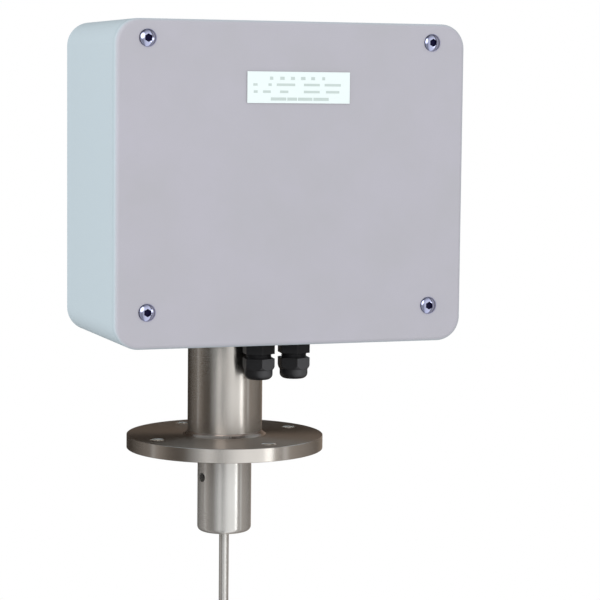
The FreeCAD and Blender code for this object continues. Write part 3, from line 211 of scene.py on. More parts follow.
@dataclass(frozen=True)
class PowderCoat:
    """Powder coat on cast aluminium: satin, with a fine orange peel and a slight cloudiness.

    Its tint changes with depth, from the front colour to the side colour, around a turned-over edge.
    The side colour is painted light: the cooler light that falls on the upright sides.
    The two roughnesses are those of the peel's hollows and crests.
    """

    name: str
    colour: str
    cloud: str
    # The side colour is painted light: the cooler light that falls on the upright sides
    side: str
    turn_start_mm: float = -94.7
    turn_end_mm: float = -91.4
    peel_mm: float = 2.4
    peel_depth_mm: float = 0.12
    cloud_mm: float = 70.0
    roughness: tuple[float, float] = (0.41, 0.53)
    ior: float = 1.5

    def build(self) -> bpy.types.Material:
        """Make the material.

        Returns:
            A satin paint whose peel is drawn about twice as coarse as real, so that it shows.
        """
        material, tree, place = start_material(self.name)
        colours = (self.colour, self.cloud)
        _, tint = cloudy_tint(tree, place, colours, self.cloud_mm, detail=3.0, roughness=0.6)
        # Painted light: with depth the coat goes over to the side colour around the edge
        depth = add_node(tree, "ShaderNodeSeparateXYZ", links={0: place}).outputs["Y"]
        turned = add_node(
            tree,
            "ShaderNodeMapRange",
            {"From Min": self.turn_start_mm * MM, "From Max": self.turn_end_mm * MM},
            {"Value": depth},
        )
        coat = add_node(
            tree,
            "ShaderNodeMix",
            {MIX_SECOND: linear(self.side)},
            {"Factor": turned.outputs[0], MIX_FIRST: tint},
            data_type="RGBA",
        )
        peel = add_node(
            tree,
            "ShaderNodeTexNoise",
            {"Scale": PER_MM / self.peel_mm, "Detail": 2.0, "Roughness": 0.55},
            {"Vector": place},
        )
        bump = add_node(
            tree,
            "ShaderNodeBump",
            {"Strength": 0.16, "Distance": self.peel_depth_mm * MM},
            {"Height": peel.outputs[0]},
        )
        hollow, crest = self.roughness
        rough = add_node(
            tree,
            "ShaderNodeMapRange",
            {"To Min": hollow, "To Max": crest},
            {"Value": peel.outputs[0]},
        )
        shader = add_node(
            tree,
            "ShaderNodeBsdfPrincipled",
            {"IOR": self.ior},
            {
                "Base Color": coat.outputs[MIX_RESULT],
                "Roughness": rough.outputs[0],
                "Normal": bump.outputs[0],
            },
        )
        add_node(tree, "ShaderNodeOutputMaterial", links={"Surface": shader.outputs[0]})
        return material


@dataclass(frozen=True)
class TurnedMetal:
    """Metal turned about an axis: fine ring lines, soft clouds of handling marks and bands of the room.

    The spread gives the smoothest and the roughest spots as shares of the roughness, at the two ends of
    the worn range, which is a sum of lines and clouds. Faces square to the axis keep a coarser feed and
    are duller.
    """

    name: str
    colour: str
    stain: str
    axis: Axis = Axis.Z
    centre_mm: tuple[float, float] = (0.0, 0.0)
    line_mm: float = 0.9
    line_depth_mm: float = 0.004
    cloud_mm: float = 45.0
    roughness: float = 0.24
    spread: tuple[float, float] = (0.85, 1.2)
    worn: tuple[float, float] = (0.45, 1.05)
    line_share: float = 0.5
    face: str = ""
    face_roughness: float = 0.42
    face_cosine: float = 0.8
    streak: float = 0.88
    metallic: float = 1.0

    def ring_lines(self, tree: bpy.types.NodeTree, place: bpy.types.NodeSocket) -> bpy.types.NodeSocket:
        """Draw the rings that the tool leaves.

        The noise reads the distance from the axis and the height along it, so it is the same all the way
        round.

        Args:
            tree: The tree that takes the nodes.
            place: The output that gives places on the object.

        Returns:
            The output of the rings.
        """
        across = [axis for axis in Axis if axis is not self.axis]
        offset = [0.0, 0.0, 0.0]
        for axis, amount in zip(across, self.centre_mm):
            offset[axis.value] = -amount * MM
        mask = [1.0 - part for part in self.axis.unit()]
        centred = add_node(tree, "ShaderNodeVectorMath", {1: offset}, {0: place}, operation="ADD")
        flat = add_node(
            tree,
            "ShaderNodeVectorMath",
            {1: mask},
            {0: centred.outputs[0]},
            operation="MULTIPLY",
        )
        radius = add_node(tree, "ShaderNodeVectorMath", links={0: flat.outputs[0]}, operation="LENGTH")
        parts = add_node(tree, "ShaderNodeSeparateXYZ", links={0: place})
        rings = add_node(
            tree,
            "ShaderNodeCombineXYZ",
            links={0: radius.outputs["Value"], 1: parts.outputs[self.axis.name]},
        )
        lines = add_node(
            tree,
            "ShaderNodeTexNoise",
            {"Scale": PER_MM / self.line_mm, "Detail": 3.0, "Roughness": 0.65},
            {"Vector": rings.outputs[0]},
        )
        return lines.outputs[0]

    def build(self) -> bpy.types.Material:
        """Make the material.

        Returns:
            A metal with ring lines, whose reflections are drawn out across the rings.
        """
        material, tree, place = start_material(self.name)
        lines = self.ring_lines(tree, place)
        colours = (self.colour, self.stain)
        clouds, tint = cloudy_tint(tree, place, colours, self.cloud_mm, detail=2.0, roughness=0.5)
        wear = add_node(
            tree,
            "ShaderNodeMath",
            {1: self.line_share},
            {0: lines, 2: clouds},
            operation="MULTIPLY_ADD",
        )
        bright, worn = self.worn
        smoothest, roughest = (self.roughness * share for share in self.spread)
        side_rough = add_node(
            tree,
            "ShaderNodeMapRange",
            {"From Min": bright, "From Max": worn, "To Min": smoothest, "To Max": roughest},
            {"Value": wear.outputs[0]},
        )
        square_on = facing_share(tree, self.axis.unit(), self.face_cosine, 1.0, both_ways=True)
        rough = add_node(
            tree,
            "ShaderNodeMath",
            {1: self.face_roughness - self.roughness},
            {0: square_on, 2: side_rough.outputs[0]},
            operation="MULTIPLY_ADD",
        )
        metal = add_node(
            tree,
            "ShaderNodeMix",
            {MIX_SECOND: linear(self.face or self.colour)},
            {"Factor": square_on, MIX_FIRST: tint},
            data_type="RGBA",
        )
        bump = add_node(
            tree,
            "ShaderNodeBump",
            {"Strength": 0.15, "Distance": self.line_depth_mm * MM},
            {"Height": lines},
        )
        around = add_node(tree, "ShaderNodeTangent", direction_type="RADIAL", axis=self.axis.name)
        shader = add_node(
            tree,
            "ShaderNodeBsdfPrincipled",
            {"Metallic": self.metallic, "Anisotropic": self.streak, "Anisotropic Rotation": QUARTER_TURN},
            {
                "Base Color": metal.outputs[MIX_RESULT],
                "Roughness": rough.outputs[0],
                "Normal": bump.outputs[0],
                "Tangent": around.outputs[0],
            },
        )
        add_node(tree, "ShaderNodeOutputMaterial", links={"Surface": shader.outputs[0]})
        return material


@dataclass(frozen=True)
class GrainedMetal:
    """Rolled, plated or cast metal: a directional grain and a cloud of duller spots.

    The spread gives the smoothest and the roughest spots as shares of the roughness.
    """

    name: str
    colour: str
    stain: str
    roughness: float = 0.32
    spread: tuple[float, float] = (0.75, 1.3)
    grain_mm: float = 0.8
    grain_depth_mm: float = 0.02
    stretch: float = 18.0
    grain: Axis = Axis.X
    spot_mm: float = 18.0

    def build(self) -> bpy.types.Material:
        """Make the material.

        Returns:
            A metal whose grain is a noise drawn out along one axis.
        """
        material, tree, place = start_material(self.name)
        scale = [PER_MM / self.grain_mm] * 3
        scale[self.grain.value] /= self.stretch
        drawn = add_node(tree, "ShaderNodeMapping", {"Scale": scale}, {"Vector": place})
        grain = add_node(
            tree,
            "ShaderNodeTexNoise",
            {"Scale": 1.0, "Detail": 3.0, "Roughness": 0.6},
            {"Vector": drawn.outputs[0]},
        )
        colours = (self.colour, self.stain)
        _, tint = cloudy_tint(tree, place, colours, self.spot_mm, detail=4.0, roughness=0.65)
        smoothest, roughest = (self.roughness * share for share in self.spread)
        rough = add_node(
            tree,
            "ShaderNodeMapRange",
            {"To Min": smoothest, "To Max": roughest},
            {"Value": grain.outputs[0]},
        )
        bump = add_node(
            tree,
            "ShaderNodeBump",
            {"Strength": 0.3, "Distance": self.grain_depth_mm * MM},
            {"Height": grain.outputs[0]},
        )
        shader = add_node(
            tree,
            "ShaderNodeBsdfPrincipled",
            {"Metallic": 1.0},
            {"Base Color": tint, "Roughness": rough.outputs[0], "Normal": bump.outputs[0]},
        )
        add_node(tree, "ShaderNodeOutputMaterial", links={"Surface": shader.outputs[0]})
        return material


@dataclass(frozen=True)
class MouldedPolymer:
    """Moulded plastic, rubber or paint: a fine grain and a little uneven gloss.

    The spread gives the smoothest and the roughest spots as shares of the roughness. Where a face colour
    is given, the faces that look toward a direction take it, between the two cosines to that direction.
    """

    name: str
    colour: str
    dust: str
    roughness: float = 0.42
    spread: tuple[float, float] = (0.8, 1.25)
    grain_mm: float = 0.7
    depth_mm: float = 0.03
    cloud_mm: float = 14.0
    ior: float = 1.5
    face: str = ""
    toward: tuple[float, float, float] = (0.0, 0.0, 0.0)
    face_cosines: tuple[float, float] = (0.6, 0.98)

    def build(self) -> bpy.types.Material:
        """Make the material.

        Returns:
            A polymer with a grain that is drawn coarser than real, so that it shows.
        """
        material, tree, place = start_material(self.name)
        grain = add_node(
            tree,
            "ShaderNodeTexNoise",
            {"Scale": PER_MM / self.grain_mm, "Detail": 2.0, "Roughness": 0.5},
            {"Vector": place},
        )
        colours = (self.colour, self.dust)
        clouds, tint = cloudy_tint(tree, place, colours, self.cloud_mm, detail=3.0, roughness=0.6)
        smoothest, roughest = (self.roughness * share for share in self.spread)
        rough = add_node(
            tree,
            "ShaderNodeMapRange",
            {"To Min": smoothest, "To Max": roughest},
            {"Value": clouds},
        )
        # The face colour is painted light on the cap nuts; on the plate it is the film's own colour, and the
        # dark colour left on the plate's edges is painted shade
        if self.face:
            share = facing_share(tree, self.toward, *self.face_cosines)
            faced = add_node(
                tree,
                "ShaderNodeMix",
                {MIX_SECOND: linear(self.face)},
                {"Factor": share, MIX_FIRST: tint},
                data_type="RGBA",
            )
            tint = faced.outputs[MIX_RESULT]
        bump = add_node(
            tree,
            "ShaderNodeBump",
            {"Strength": 0.25, "Distance": self.depth_mm * MM},
            {"Height": grain.outputs[0]},
        )
        shader = add_node(
            tree,
            "ShaderNodeBsdfPrincipled",
            {"IOR": self.ior},
            {"Base Color": tint, "Roughness": rough.outputs[0], "Normal": bump.outputs[0]},
        )
        add_node(tree, "ShaderNodeOutputMaterial", links={"Surface": shader.outputs[0]})
        return material


class Finishes:
    """The finishes of the object, each made once."""

    def __init__(self) -> None:
        """Make every finish by its slot name."""
        recipes = {
            # A lavender cast in the grey of the cover's face. Around its edge it turns blue: painted light,
            # the cool light on the sides
            "cover_powder_coat": PowderCoat("powder_coat_lavender_grey", "#bebcc8", "#b4b4ba", "#bdccd4"),
            # The box behind it is paler and bluer: painted light, the cool light that falls on its upright
            # sides
            "box_powder_coat": PowderCoat("powder_coat_with_painted_cool_light", "#c3d0dd", "#bbcccf", "#c0cfd7"),
            # Turned stainless steel mirrors the room in upright bands, with a warm cast
            "stainless_steel": TurnedMetal("turned_stainless_steel", "#e8e4df", "#dad4cc"),
            # The flange's faces are rough turned and coloured a darker brown-grey than its rim
            "flange_steel": TurnedMetal("turned_flange_steel", "#f2eee9", "#e4ded6", face="#aca096"),
            # The guide tube and the rod are ground, so they scatter some light and look paler
            "ground_steel": TurnedMetal("ground_stainless_steel", "#f2f1ee", "#e6e4e0", metallic=0.84),
            # The weld is dressed smooth and keeps a straw heat tint
            "weld_bead": TurnedMetal("dressed_weld_fillet", "#d0c2b8", "#baaaa0", face_roughness=0.34),
            # A pale film on the plate's face. The plate's edges keep a dark colour: painted shade, the thin
            # shadow along the raised plate's edges
            "anodised_plate": MouldedPolymer(
                "plate_film_with_painted_edge_shade",
                "#34343c",
                "#3e3e46",
                roughness=0.38,
                grain_mm=1.5,
                depth_mm=0.01,
                face="#f2fefe",
                toward=(0.0, -1.0, 0.0),
            ),
            # A thin ink, hardly darker than the film it is printed on
            "plate_ink": MouldedPolymer(
                "screen_printed_ink",
                "#c6d5d2",
                "#cfddda",
                roughness=0.5,
                grain_mm=1.0,
                depth_mm=0.005,
            ),
            # Bright plating gives the screw heads dark rims and small bright spots
            "screw_chrome": TurnedMetal(
                "bright_plated_steel",
                "#d0d5f6",
                "#c2c8ee",
                Axis.Y,
                roughness=0.13,
                face_roughness=0.15,
                streak=0.0,
            ),
            # A dark film in the sockets: painted shade, where little light gets in
            "socket_painted_shade": MouldedPolymer(
                "painted_socket_shade_film",
                "#0e0b34",
                "#151240",
                roughness=0.6,
                grain_mm=1.0,
                depth_mm=0.02,
                ior=1.25,
            ),
            # Nylon straight from the mould is a soft black with hardly a highlight
            "black_nylon": MouldedPolymer("moulded_black_nylon", "#161618", "#1d1d1f", ior=1.36),
            # The cap nuts' faces that look right and forward are painted grey: painted light, the light
            # thrown on them from that side
            "nylon_with_painted_light": MouldedPolymer(
                "black_nylon_painted_light_on_right",
                "#161618",
                "#1d1d1f",
                ior=1.36,
                face="#4a4a4c",
                toward=(0.407, -0.914, 0.0),
            ),
            # Rubber is duller than the nylon beside it, and a little dusty
            "black_rubber": MouldedPolymer(
                "moulded_black_rubber",
                "#1b1b1b",
                "#262524",
                roughness=0.62,
                grain_mm=0.9,
                depth_mm=0.05,
            ),
            # The bush, the roller and the standoffs are a waxy cream
            "white_nylon": MouldedPolymer("turned_white_nylon", "#e6e3d8", "#dbd7ca", roughness=0.45),
            # Zinc plating is a cool grey, with the rolled sheet's long grain
            "zinc_steel": GrainedMetal("zinc_plated_sheet", "#ccd0d2", "#b5babd", roughness=0.34),
            # Gears, shafts and pins show the lathe's rings in a plain grey
            "machined_steel": TurnedMetal("machined_steel", "#b9b8b6", "#a5a4a1", Axis.Y, DRUM_AXIS_MM),
            # The aluminium of the drum and the gearhead is turned too, and brighter
            "machined_aluminium": TurnedMetal(
                "turned_aluminium",
                "#dcdddf",
                "#cfd1d4",
                Axis.Y,
                DRUM_AXIS_MM,
            ),
            # Pressed bronze powder is a matt gold with even specks
            "bearing_bronze": GrainedMetal(
                "sintered_bronze",
                "#b98a4e",
                "#9a6f3b",
                roughness=0.42,
                grain_mm=0.5,
                stretch=1.0,
            ),
            # Stoved paint on the motor shines a little
            "motor_black": MouldedPolymer("black_motor_paint", "#1e1f22", "#292a2d", roughness=0.35),
            # Nickel leaves a trace of the brass below it
            "sensor_brass": GrainedMetal("nickel_plated_brass", "#cfc7b2", "#bdb49d", roughness=0.25),
            # Pressed phenolic is glossier than nylon
            "switch_black": MouldedPolymer("phenolic_switch_case", "#1a1a1c", "#242427", roughness=0.3),
            # Solder mask is a clear dark green with a wavy gloss
            "circuit_green": MouldedPolymer(
                "solder_mask_green",
                "#1d5c3a",
                "#174a2f",
                roughness=0.3,
                grain_mm=2.0,
                depth_mm=0.06,
            ),
            # Polyamide terminals are a flat mid grey
            "terminal_grey": MouldedPolymer("moulded_grey_polyamide", "#a7a9a6", "#9b9d9a", roughness=0.45),
            # Drawn wire glints in specks
            "wire_steel": GrainedMetal(
                "stranded_wire_rope",
                "#b7b6b3",
                "#9b9a96",
                roughness=0.35,
                grain_mm=0.6,
                stretch=1.0,
            ),
        }
        self.materials = {slot: recipe.build() for slot, recipe in recipes.items()}

    def dress(self, piece: bpy.types.Object, slot: str) -> None:
        """Give a piece the finish of a slot.

        Args:
            piece: The object to dress.
            slot: The finish's slot name.
        """
        piece.data.materials.clear()
        piece.data.materials.append(self.materials[slot])


def grid_quads(rows: int, columns: int, wrap_rows: bool, wrap_columns: bool) -> np.ndarray:
    """Number the four corners of every cell of a grid of points.

    Args:
        rows: Points along the first parameter.
        columns: Points along the second parameter.
        wrap_rows: Whether the last row joins the first.
        wrap_columns: Whether the last column joins the first.

    Returns:
        One row of four point numbers for each cell.
    """
    row = np.arange(rows if wrap_rows else rows - 1)[:, None]
    column = np.arange(columns if wrap_columns else columns - 1)[None, :]
    next_row, next_column = (row + 1) % rows, (column + 1) % columns
    corners = (
        row * columns + column,
        row * columns + next_column,
        next_row * columns + next_column,
        next_row * columns + column,
    )
    cells = (row.size, column.size)
    return np.stack([np.broadcast_to(corner, cells).ravel() for corner in corners], axis=1)


def repeat_faces(one: np.ndarray, copies: int, points: int) -> np.ndarray:
    """Number the faces of equal shapes whose points follow one another.

    Args:
        one: The faces of the first shape.
        copies: The count of shapes.
        points: The count of points of each shape.

    Returns:
        The faces of all the shapes.
    """
    shift = np.arange(copies)[:, None, None] * points
    return (one[None, :, :] + shift).reshape(-1, 4)


def mesh_piece(name: str, points: np.ndarray, faces: np.ndarray, smooth: bool = True) -> bpy.types.Object:
    """Make an object from points and faces that are already in place, with the points of its poles merged.

    Args:
        name: The piece's name.
        points: Points in metres, one row each.
        faces: Point numbers, one row per face.
        smooth: Whether its faces shade smoothly.

    Returns:
        The new object, linked to the scene.
    """
    mesh = bpy.data.meshes.new(name)
    mesh.from_pydata(points.reshape(-1, 3).tolist(), [], faces.tolist())
    merged = bmesh.new()
    merged.from_mesh(mesh)
    bmesh.ops.remove_doubles(merged, verts=merged.verts, dist=MERGE_MM * MM)
    merged.to_mesh(mesh)
    merged.free()
    mesh.polygons.foreach_set("use_smooth", np.full(len(mesh.polygons), smooth))
    mesh.update()
    piece = bpy.data.objects.new(name, mesh)
    bpy.context.scene.collection.objects.link(piece)
    return piece


@dataclass
class WeldBead:
    """The fillet weld between the neck and the flange, as a row of overlapping ripples."""

    radius_mm: float = 38.05
    base_mm: float = 14.0
    leg_mm: float = 4.5
    hollow: float = 0.12
    ripples: int = 84
    ripple_mm: float = 0.08
    lean: float = 2.2
    steps: int = 1008
    section_steps: int = 14

    def surface(self) -> tuple[np.ndarray, np.ndarray]:
        """Work out the bead.

        A hollow quarter circle runs from the flange to the tube and is carried round the axis. Each ripple
        is a sine along the path that leans with the section, so the crests lie back like fish scales. The
        section closes through the corner between the tube and the flange.

        Returns:
            The points in metres and the faces.
        """
        turn = np.linspace(0.0, 2 * np.pi, self.steps, endpoint=False)[:, None]
        share = np.linspace(0.0, 1.0, self.section_steps)[None, :]
        arc = share * np.pi / 2
        middle = np.sin(np.pi * share)
        wave = np.abs(np.sin((turn * self.ripples + self.lean * middle) / 2))
        reach = self.leg_mm * (1 - self.hollow * middle)
        lift = self.ripple_mm * wave * middle
        out = self.leg_mm - reach * np.sin(arc) + lift * np.sin(np.pi / 4)
        up = self.leg_mm - reach * np.cos(arc) + lift * np.cos(np.pi / 4)
        radius = np.concatenate([self.radius_mm + out, np.full((self.steps, 1), self.radius_mm)], axis=1)
        height = np.concatenate([self.base_mm + up, np.full((self.steps, 1), self.base_mm)], axis=1)
        points = np.stack([radius * np.cos(turn), radius * np.sin(turn), height], axis=2) * MM
        return points, grid_quads(self.steps, self.section_steps + 1, True, True)[:, ::-1]

    def build(self, finishes: Finishes) -> bpy.types.Object:
        """Make the bead and let it stand for its plain ring.

        Args:
            finishes: The finishes of the object.

        Returns:
            The bead.
        """
        piece = mesh_piece("weld_ripples", *self.surface())
        finishes.dress(piece, "weld_bead")
        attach(piece, "housing")
        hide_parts("neck_weld")
        return piece


@dataclass
class GlandThread:
    """The thread that shows between a gland's collar and its cap nut."""

    name: str
    x_mm: float
    y_mm: float = -58.0
    low_mm: float = 98.0
    high_mm: float = 102.5
    core_mm: float = 11.9
    root_mm: float = 12.02
    ridge_mm: float = 0.55
    pitch_mm: float = 1.5
    flank: float = 0.9
    fade_mm: float = 0.4
    steps: int = 96
    rows: int = 40

    def surface(self) -> tuple[np.ndarray, np.ndarray]:
        """Work out the thread.

        The radius at an angle and a height is the root plus a ridge that climbs one pitch in a turn. The
        ridge is a clipped cosine, so it has flat crests and roots, and it fades out at both ends. A plain
        sleeve inside closes it.

        Returns:
            The points in metres and the faces.
        """
        turn = np.linspace(0.0, 2 * np.pi, self.steps, endpoint=False)[:, None]
        height = np.linspace(self.low_mm, self.high_mm, self.rows)[None, :]
        climb = (height - self.low_mm) / self.pitch_mm - turn / (2 * np.pi)
        crest = np.clip(0.5 + self.flank * np.cos(2 * np.pi * climb), 0.0, 1.0)
        to_end = np.minimum(height - self.low_mm, self.high_mm - height)
        outer = self.root_mm + self.ridge_mm * crest * np.clip(to_end / self.fade_mm, 0.0, 1.0)
        core = np.full((self.steps, 1), self.core_mm)
        radius = np.concatenate([outer, core, core], axis=1)
        level = np.concatenate([height, [[self.high_mm, self.low_mm]]], axis=1)
        level = np.broadcast_to(level, radius.shape)
        across = self.x_mm + radius * np.cos(turn)
        deep = self.y_mm + radius * np.sin(turn)
        points = np.stack([across, deep, level], axis=2) * MM
        return points, grid_quads(self.steps, radius.shape[1], True, True)[:, ::-1]

    def build(self, finishes: Finishes) -> bpy.types.Object:
        """Make the thread.

        Args:
            finishes: The finishes of the object.

        Returns:
            The thread.
        """
        piece = mesh_piece(self.name, *self.surface())
        finishes.dress(piece, "black_nylon")
        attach(piece, "housing")
        return piece


@dataclass
class PlatePrint:
    """Plain bars on the name plate, in the places of its printed lines."""

    centre_x_mm: float = 42.0
    centre_z_mm: float = 366.0
    front_mm: float = -95.8
    lift_mm: float = 0.04
    # Each row: height above the centre, bar height, then the bars' left ends and widths
    rows: tuple[tuple[float, float, tuple[tuple[float, float], ...]], ...] = (
        (8.8, 3.0, ((-30.0, 3.4), (-19.5, 4.6), (-8.5, 4.2), (2.0, 4.6), (12.5, 4.0), (24.0, 3.0))),
        (2.6, 2.4, ((-47.0, 4.4), (-31.5, 3.4), (-23.0, 19.0), (5.0, 16.5), (26.5, 17.0))),
        (-4.2, 2.4, ((-46.5, 4.0), (-37.0, 8.0), (-19.5, 8.5), (5.0, 16.5), (28.0, 14.0))),
        (-11.2, 3.0, ((-29.0, 16.0), (-12.0, 10.0), (-1.0, 15.0), (15.0, 16.0))),
    )

    def surface(self) -> tuple[np.ndarray, np.ndarray]:
        """Work out the bars.

        Each bar is a thin slab on the plate. Its section runs from the middle of its face out to the edge,
        down to the plate and back in, and it goes round in four corners, each half a width and half a
        height from the middle.

        Returns:
            The points in metres and the faces.
        """
        bars = np.array(
            [(left, level, width, tall) for level, tall, line in self.rows for left, width in line]
        )
        left, level, width, tall = bars.T[:, :, None, None]
        reach = np.array([0.0, 0.5, 0.5, 0.0])[:, None]
        proud = np.array([1.0, 1.0, 0.0, 0.0])[:, None]
        sideways = np.array([-1.0, 1.0, 1.0, -1.0])
        upward = np.array([1.0, 1.0, -1.0, -1.0])
        across = self.centre_x_mm + left + width / 2 + width * reach * sideways
        up = self.centre_z_mm + level + tall * reach * upward
        deep = np.broadcast_to(self.front_mm - self.lift_mm * proud, across.shape)
        points = np.stack([across, deep, up], axis=3) * MM
        one = grid_quads(reach.size, sideways.size, False, True)
        return points, repeat_faces(one, len(bars), reach.size * sideways.size)

    def build(self, finishes: Finishes) -> bpy.types.Object:
        """Make the bars.

        Args:
            finishes: The finishes of the object.

        Returns:
            The printed bars.
        """
        piece = mesh_piece("plate_print", *self.surface(), smooth=False)
        finishes.dress(piece, "plate_ink")
        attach(piece, "housing")
        return piece


@dataclass(frozen=True)
class ScrewPattern:
    """The places of the four cover screws on the cover's face."""

    columns_mm: tuple[float, float] = (-110.4, 182.4)
    rows_mm: tuple[float, float] = (150.0, 411.5)

    def places(self) -> tuple[np.ndarray, np.ndarray]:
        """Give the screws' columns and rows, shaped to take a profile that is carried round each screw."""
        column, row = np.meshgrid(self.columns_mm, self.rows_mm)
        return column.reshape(-1, 1, 1), row.reshape(-1, 1, 1)


@dataclass
class CoverScrews:
    """The four cover screws: low domed heads with a hexagon socket."""

    pattern: ScrewPattern = ScrewPattern()
    seat_mm: float = -95.0
    end_mm: float = -60.75
    head_mm: float = 8.6
    crown_mm: float = 3.4
    skirt_mm: float = 0.5
    edge_power: float = 0.72
    shank_mm: float = 4.95
    flats_mm: float = 7.0
    crease_deg: float = 30.0
    steps: int = 72
    dome_rows: int = 14

    def surface(self) -> tuple[np.ndarray, np.ndarray]:
        """Work out the screws.

        A profile is carried round each screw's own axis. It starts at the middle of the socket's floor,
        climbs the socket's wall, runs down the dome, and goes over the skirt to the shank and along it. In
        the socket the radius is a hexagon's: half its flats over the cosine of the angle from the nearest
        flat's middle. On the dome it goes over from the hexagon to the circle in even shares. The dome's
        height is a power of one less the square of the radius over the head's, which falls off steeply at
        the edge.

        Returns:
            The points in metres and the faces.
        """
        turn = np.linspace(0.0, 2 * np.pi, self.steps, endpoint=False)[None, :]
        hexagon = self.flats_mm / 2 / np.cos(turn % (np.pi / 3) - np.pi / 6)
        share = np.linspace(0.0, 1.0, self.dome_rows)[:, None]
        dome = hexagon + (self.head_mm - hexagon) * share
        drop = self.crown_mm - self.skirt_mm
        fall = np.clip(1 - (dome / self.head_mm) ** 2, 0.0, 1.0)
        lift = self.skirt_mm + drop * fall**self.edge_power
        below = np.array([self.head_mm, self.shank_mm, self.shank_mm, 0.0])[:, None] * np.ones_like(turn)
        radius = np.concatenate([np.zeros_like(turn), hexagon, dome, below])
        length = self.seat_mm - self.end_mm
        floor = np.zeros((2, self.steps))
        height = np.concatenate([floor, lift, floor, floor + length])
        column, row = self.pattern.places()
        across = column + radius * np.sin(turn)
        up = row + radius * np.cos(turn)
        deep = np.broadcast_to(self.seat_mm - height, across.shape)
        points = np.stack([across, deep, up], axis=3) * MM
        one = grid_quads(len(radius), self.steps, False, True)
        return points, repeat_faces(one, column.size, radius.size)

    def build(self, finishes: Finishes) -> bpy.types.Object:
        """Make the screws and let them stand for their plain forms.

        Args:
            finishes: The finishes of the object.

        Returns:
            All four screws.
        """
        piece = mesh_piece("domed_screws", *self.surface())
        piece.data.set_sharp_from_angle(angle=math.radians(self.crease_deg))
        finishes.dress(piece, "screw_chrome")
        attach(piece, "housing")
        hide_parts("cover_screws")
        return piece


@dataclass
class SocketPaintedShade:
    """A dark film in the hexagon sockets of the four cover screws: painted shade, where little light gets
    in.
    """

    pattern: ScrewPattern = ScrewPattern()
    mouth_mm: float = -97.8
    floor_mm: float = -95.06
    flats_mm: float = 6.9
    film_mm: float = 0.04

    def surface(self) -> tuple[np.ndarray, np.ndarray]:
        """Work out the films.

        Each film is a hexagonal cup with a thin wall. Its section runs from the floor's middle out to the
        wall and up to the mouth, over the film's thickness, and back down and in below the floor. It goes
        round in six corners, and the cup is set down once at every screw.

        Returns:
            The points in metres and the faces.
        """
        corner = np.arange(6) * np.pi / 3
        inner, outer = self.flats_mm, self.flats_mm + 2 * self.film_mm
        reach = np.array([0.0, inner, inner, outer, outer, 0.0])[:, None] / np.sqrt(3.0)
        column, row = self.pattern.places()
        across = column + reach * np.sin(corner)
        up = row + reach * np.cos(corner)
        mouth, floor, below = self.mouth_mm, self.floor_mm, self.floor_mm + self.film_mm
        depth = np.array([floor, floor, mouth, mouth, below, below])[:, None]
        points = np.stack([across, np.broadcast_to(depth, across.shape), up], axis=3) * MM
        one = grid_quads(reach.size, corner.size, False, True)
        return points, repeat_faces(one, column.size, reach.size * corner.size)

    def build(self, finishes: Finishes) -> bpy.types.Object:
        """Make the films.

        Args:
            finishes: The finishes of the object.

        Returns:
            The films of all four screws.
        """
        piece = mesh_piece("socket_painted_shade", *self.surface(), smooth=False)
        finishes.dress(piece, "socket_painted_shade")
        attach(piece, "housing")
        return piece


@dataclass
class StrandedRope:
    """One stretch of the wire rope from the drum to the weight: six strands laid side by side."""

    name: str
    high_mm: float
    low_mm: float
    high_body: str
    low_body: str
    grip_mm: float = 0.0
    strand_mm: float = 0.42
    lay_radius_mm: float = 0.83
    lay_mm: float = 16.0
    strands: int = 6
    step_mm: float = 0.5
    sides: int = 8

    def surface(self) -> tuple[np.ndarray, np.ndarray]:
        """Work out the strands.

        Each strand is a circle carried along a helix: its centre turns once in a lay's length, and the six
        strands start a sixth of a turn apart. The turn counts from the frame's origin, so that the
        stretches meet. A circle of no size closes each end.

        Returns:
            The points in metres and the faces.
        """
        steps = round((self.high_mm - self.low_mm) / self.step_mm) + 1
        rows = steps + 2
        height = np.pad(np.linspace(self.low_mm, self.high_mm, steps), 1, mode="edge")[None, :, None]
        thick = np.pad(np.full(steps, self.strand_mm), 1)[None, :, None]
        start = np.arange(self.strands)[:, None, None] * 2 * np.pi / self.strands
        side = np.linspace(0.0, 2 * np.pi, self.sides, endpoint=False)[None, None, :]
        turn = start + 2 * np.pi * height / self.lay_mm
        across = self.lay_radius_mm * np.cos(turn) + thick * np.cos(side)
        deep = self.lay_radius_mm * np.sin(turn) + thick * np.sin(side)
        level = np.broadcast_to(height, across.shape)
        points = np.stack([across, deep, level], axis=3) * MM
        one = grid_quads(rows, self.sides, False, True)
        return points, repeat_faces(one, self.strands, rows * self.sides)

    def build(self, finishes: Finishes) -> bpy.types.Object:
        """Make the stretch and let it stand for the plain rope.

        Args:
            finishes: The finishes of the object.

        Returns:
            The stretch of rope.
        """
        piece = mesh_piece(self.name, *self.surface())
        finishes.dress(piece, "wire_steel")
        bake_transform(piece)
        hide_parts("wire_rope")
        return piece


@dataclass(frozen=True)
class Band:
    """One upright band of the room, as polished metal mirrors it."""

    bearing_deg: float
    brightness: float
    colour: str = "#ffffff"


@dataclass(frozen=True)
class Lamp:
    """One soft oval lamp. A mirrored one only makes highlights, and any other only lights."""

    name: str
    place_m: tuple[float, float, float]
    size_m: tuple[float, float]
    power_w: float
    mirrored: bool = False

    def build(self, aim_m: tuple[float, float, float]) -> None:
        """Add the lamp to the scene.

        Args:
            aim_m: The point that it faces.
        """
        data = bpy.data.lights.new(self.name, "AREA")
        data.shape = "ELLIPSE"
        data.size, data.size_y = self.size_m
        data.energy = self.power_w
        lamp = bpy.data.objects.new(self.name, data)
        ahead = Vector(aim_m) - Vector(self.place_m)
        turn = ahead.to_track_quat("-Z", "Y").to_matrix().to_4x4()
        lamp.matrix_world = Matrix.Translation(self.place_m) @ turn
        lamp.visible_glossy = self.mirrored
        lamp.visible_diffuse = not self.mirrored
        bpy.context.scene.collection.objects.link(lamp)


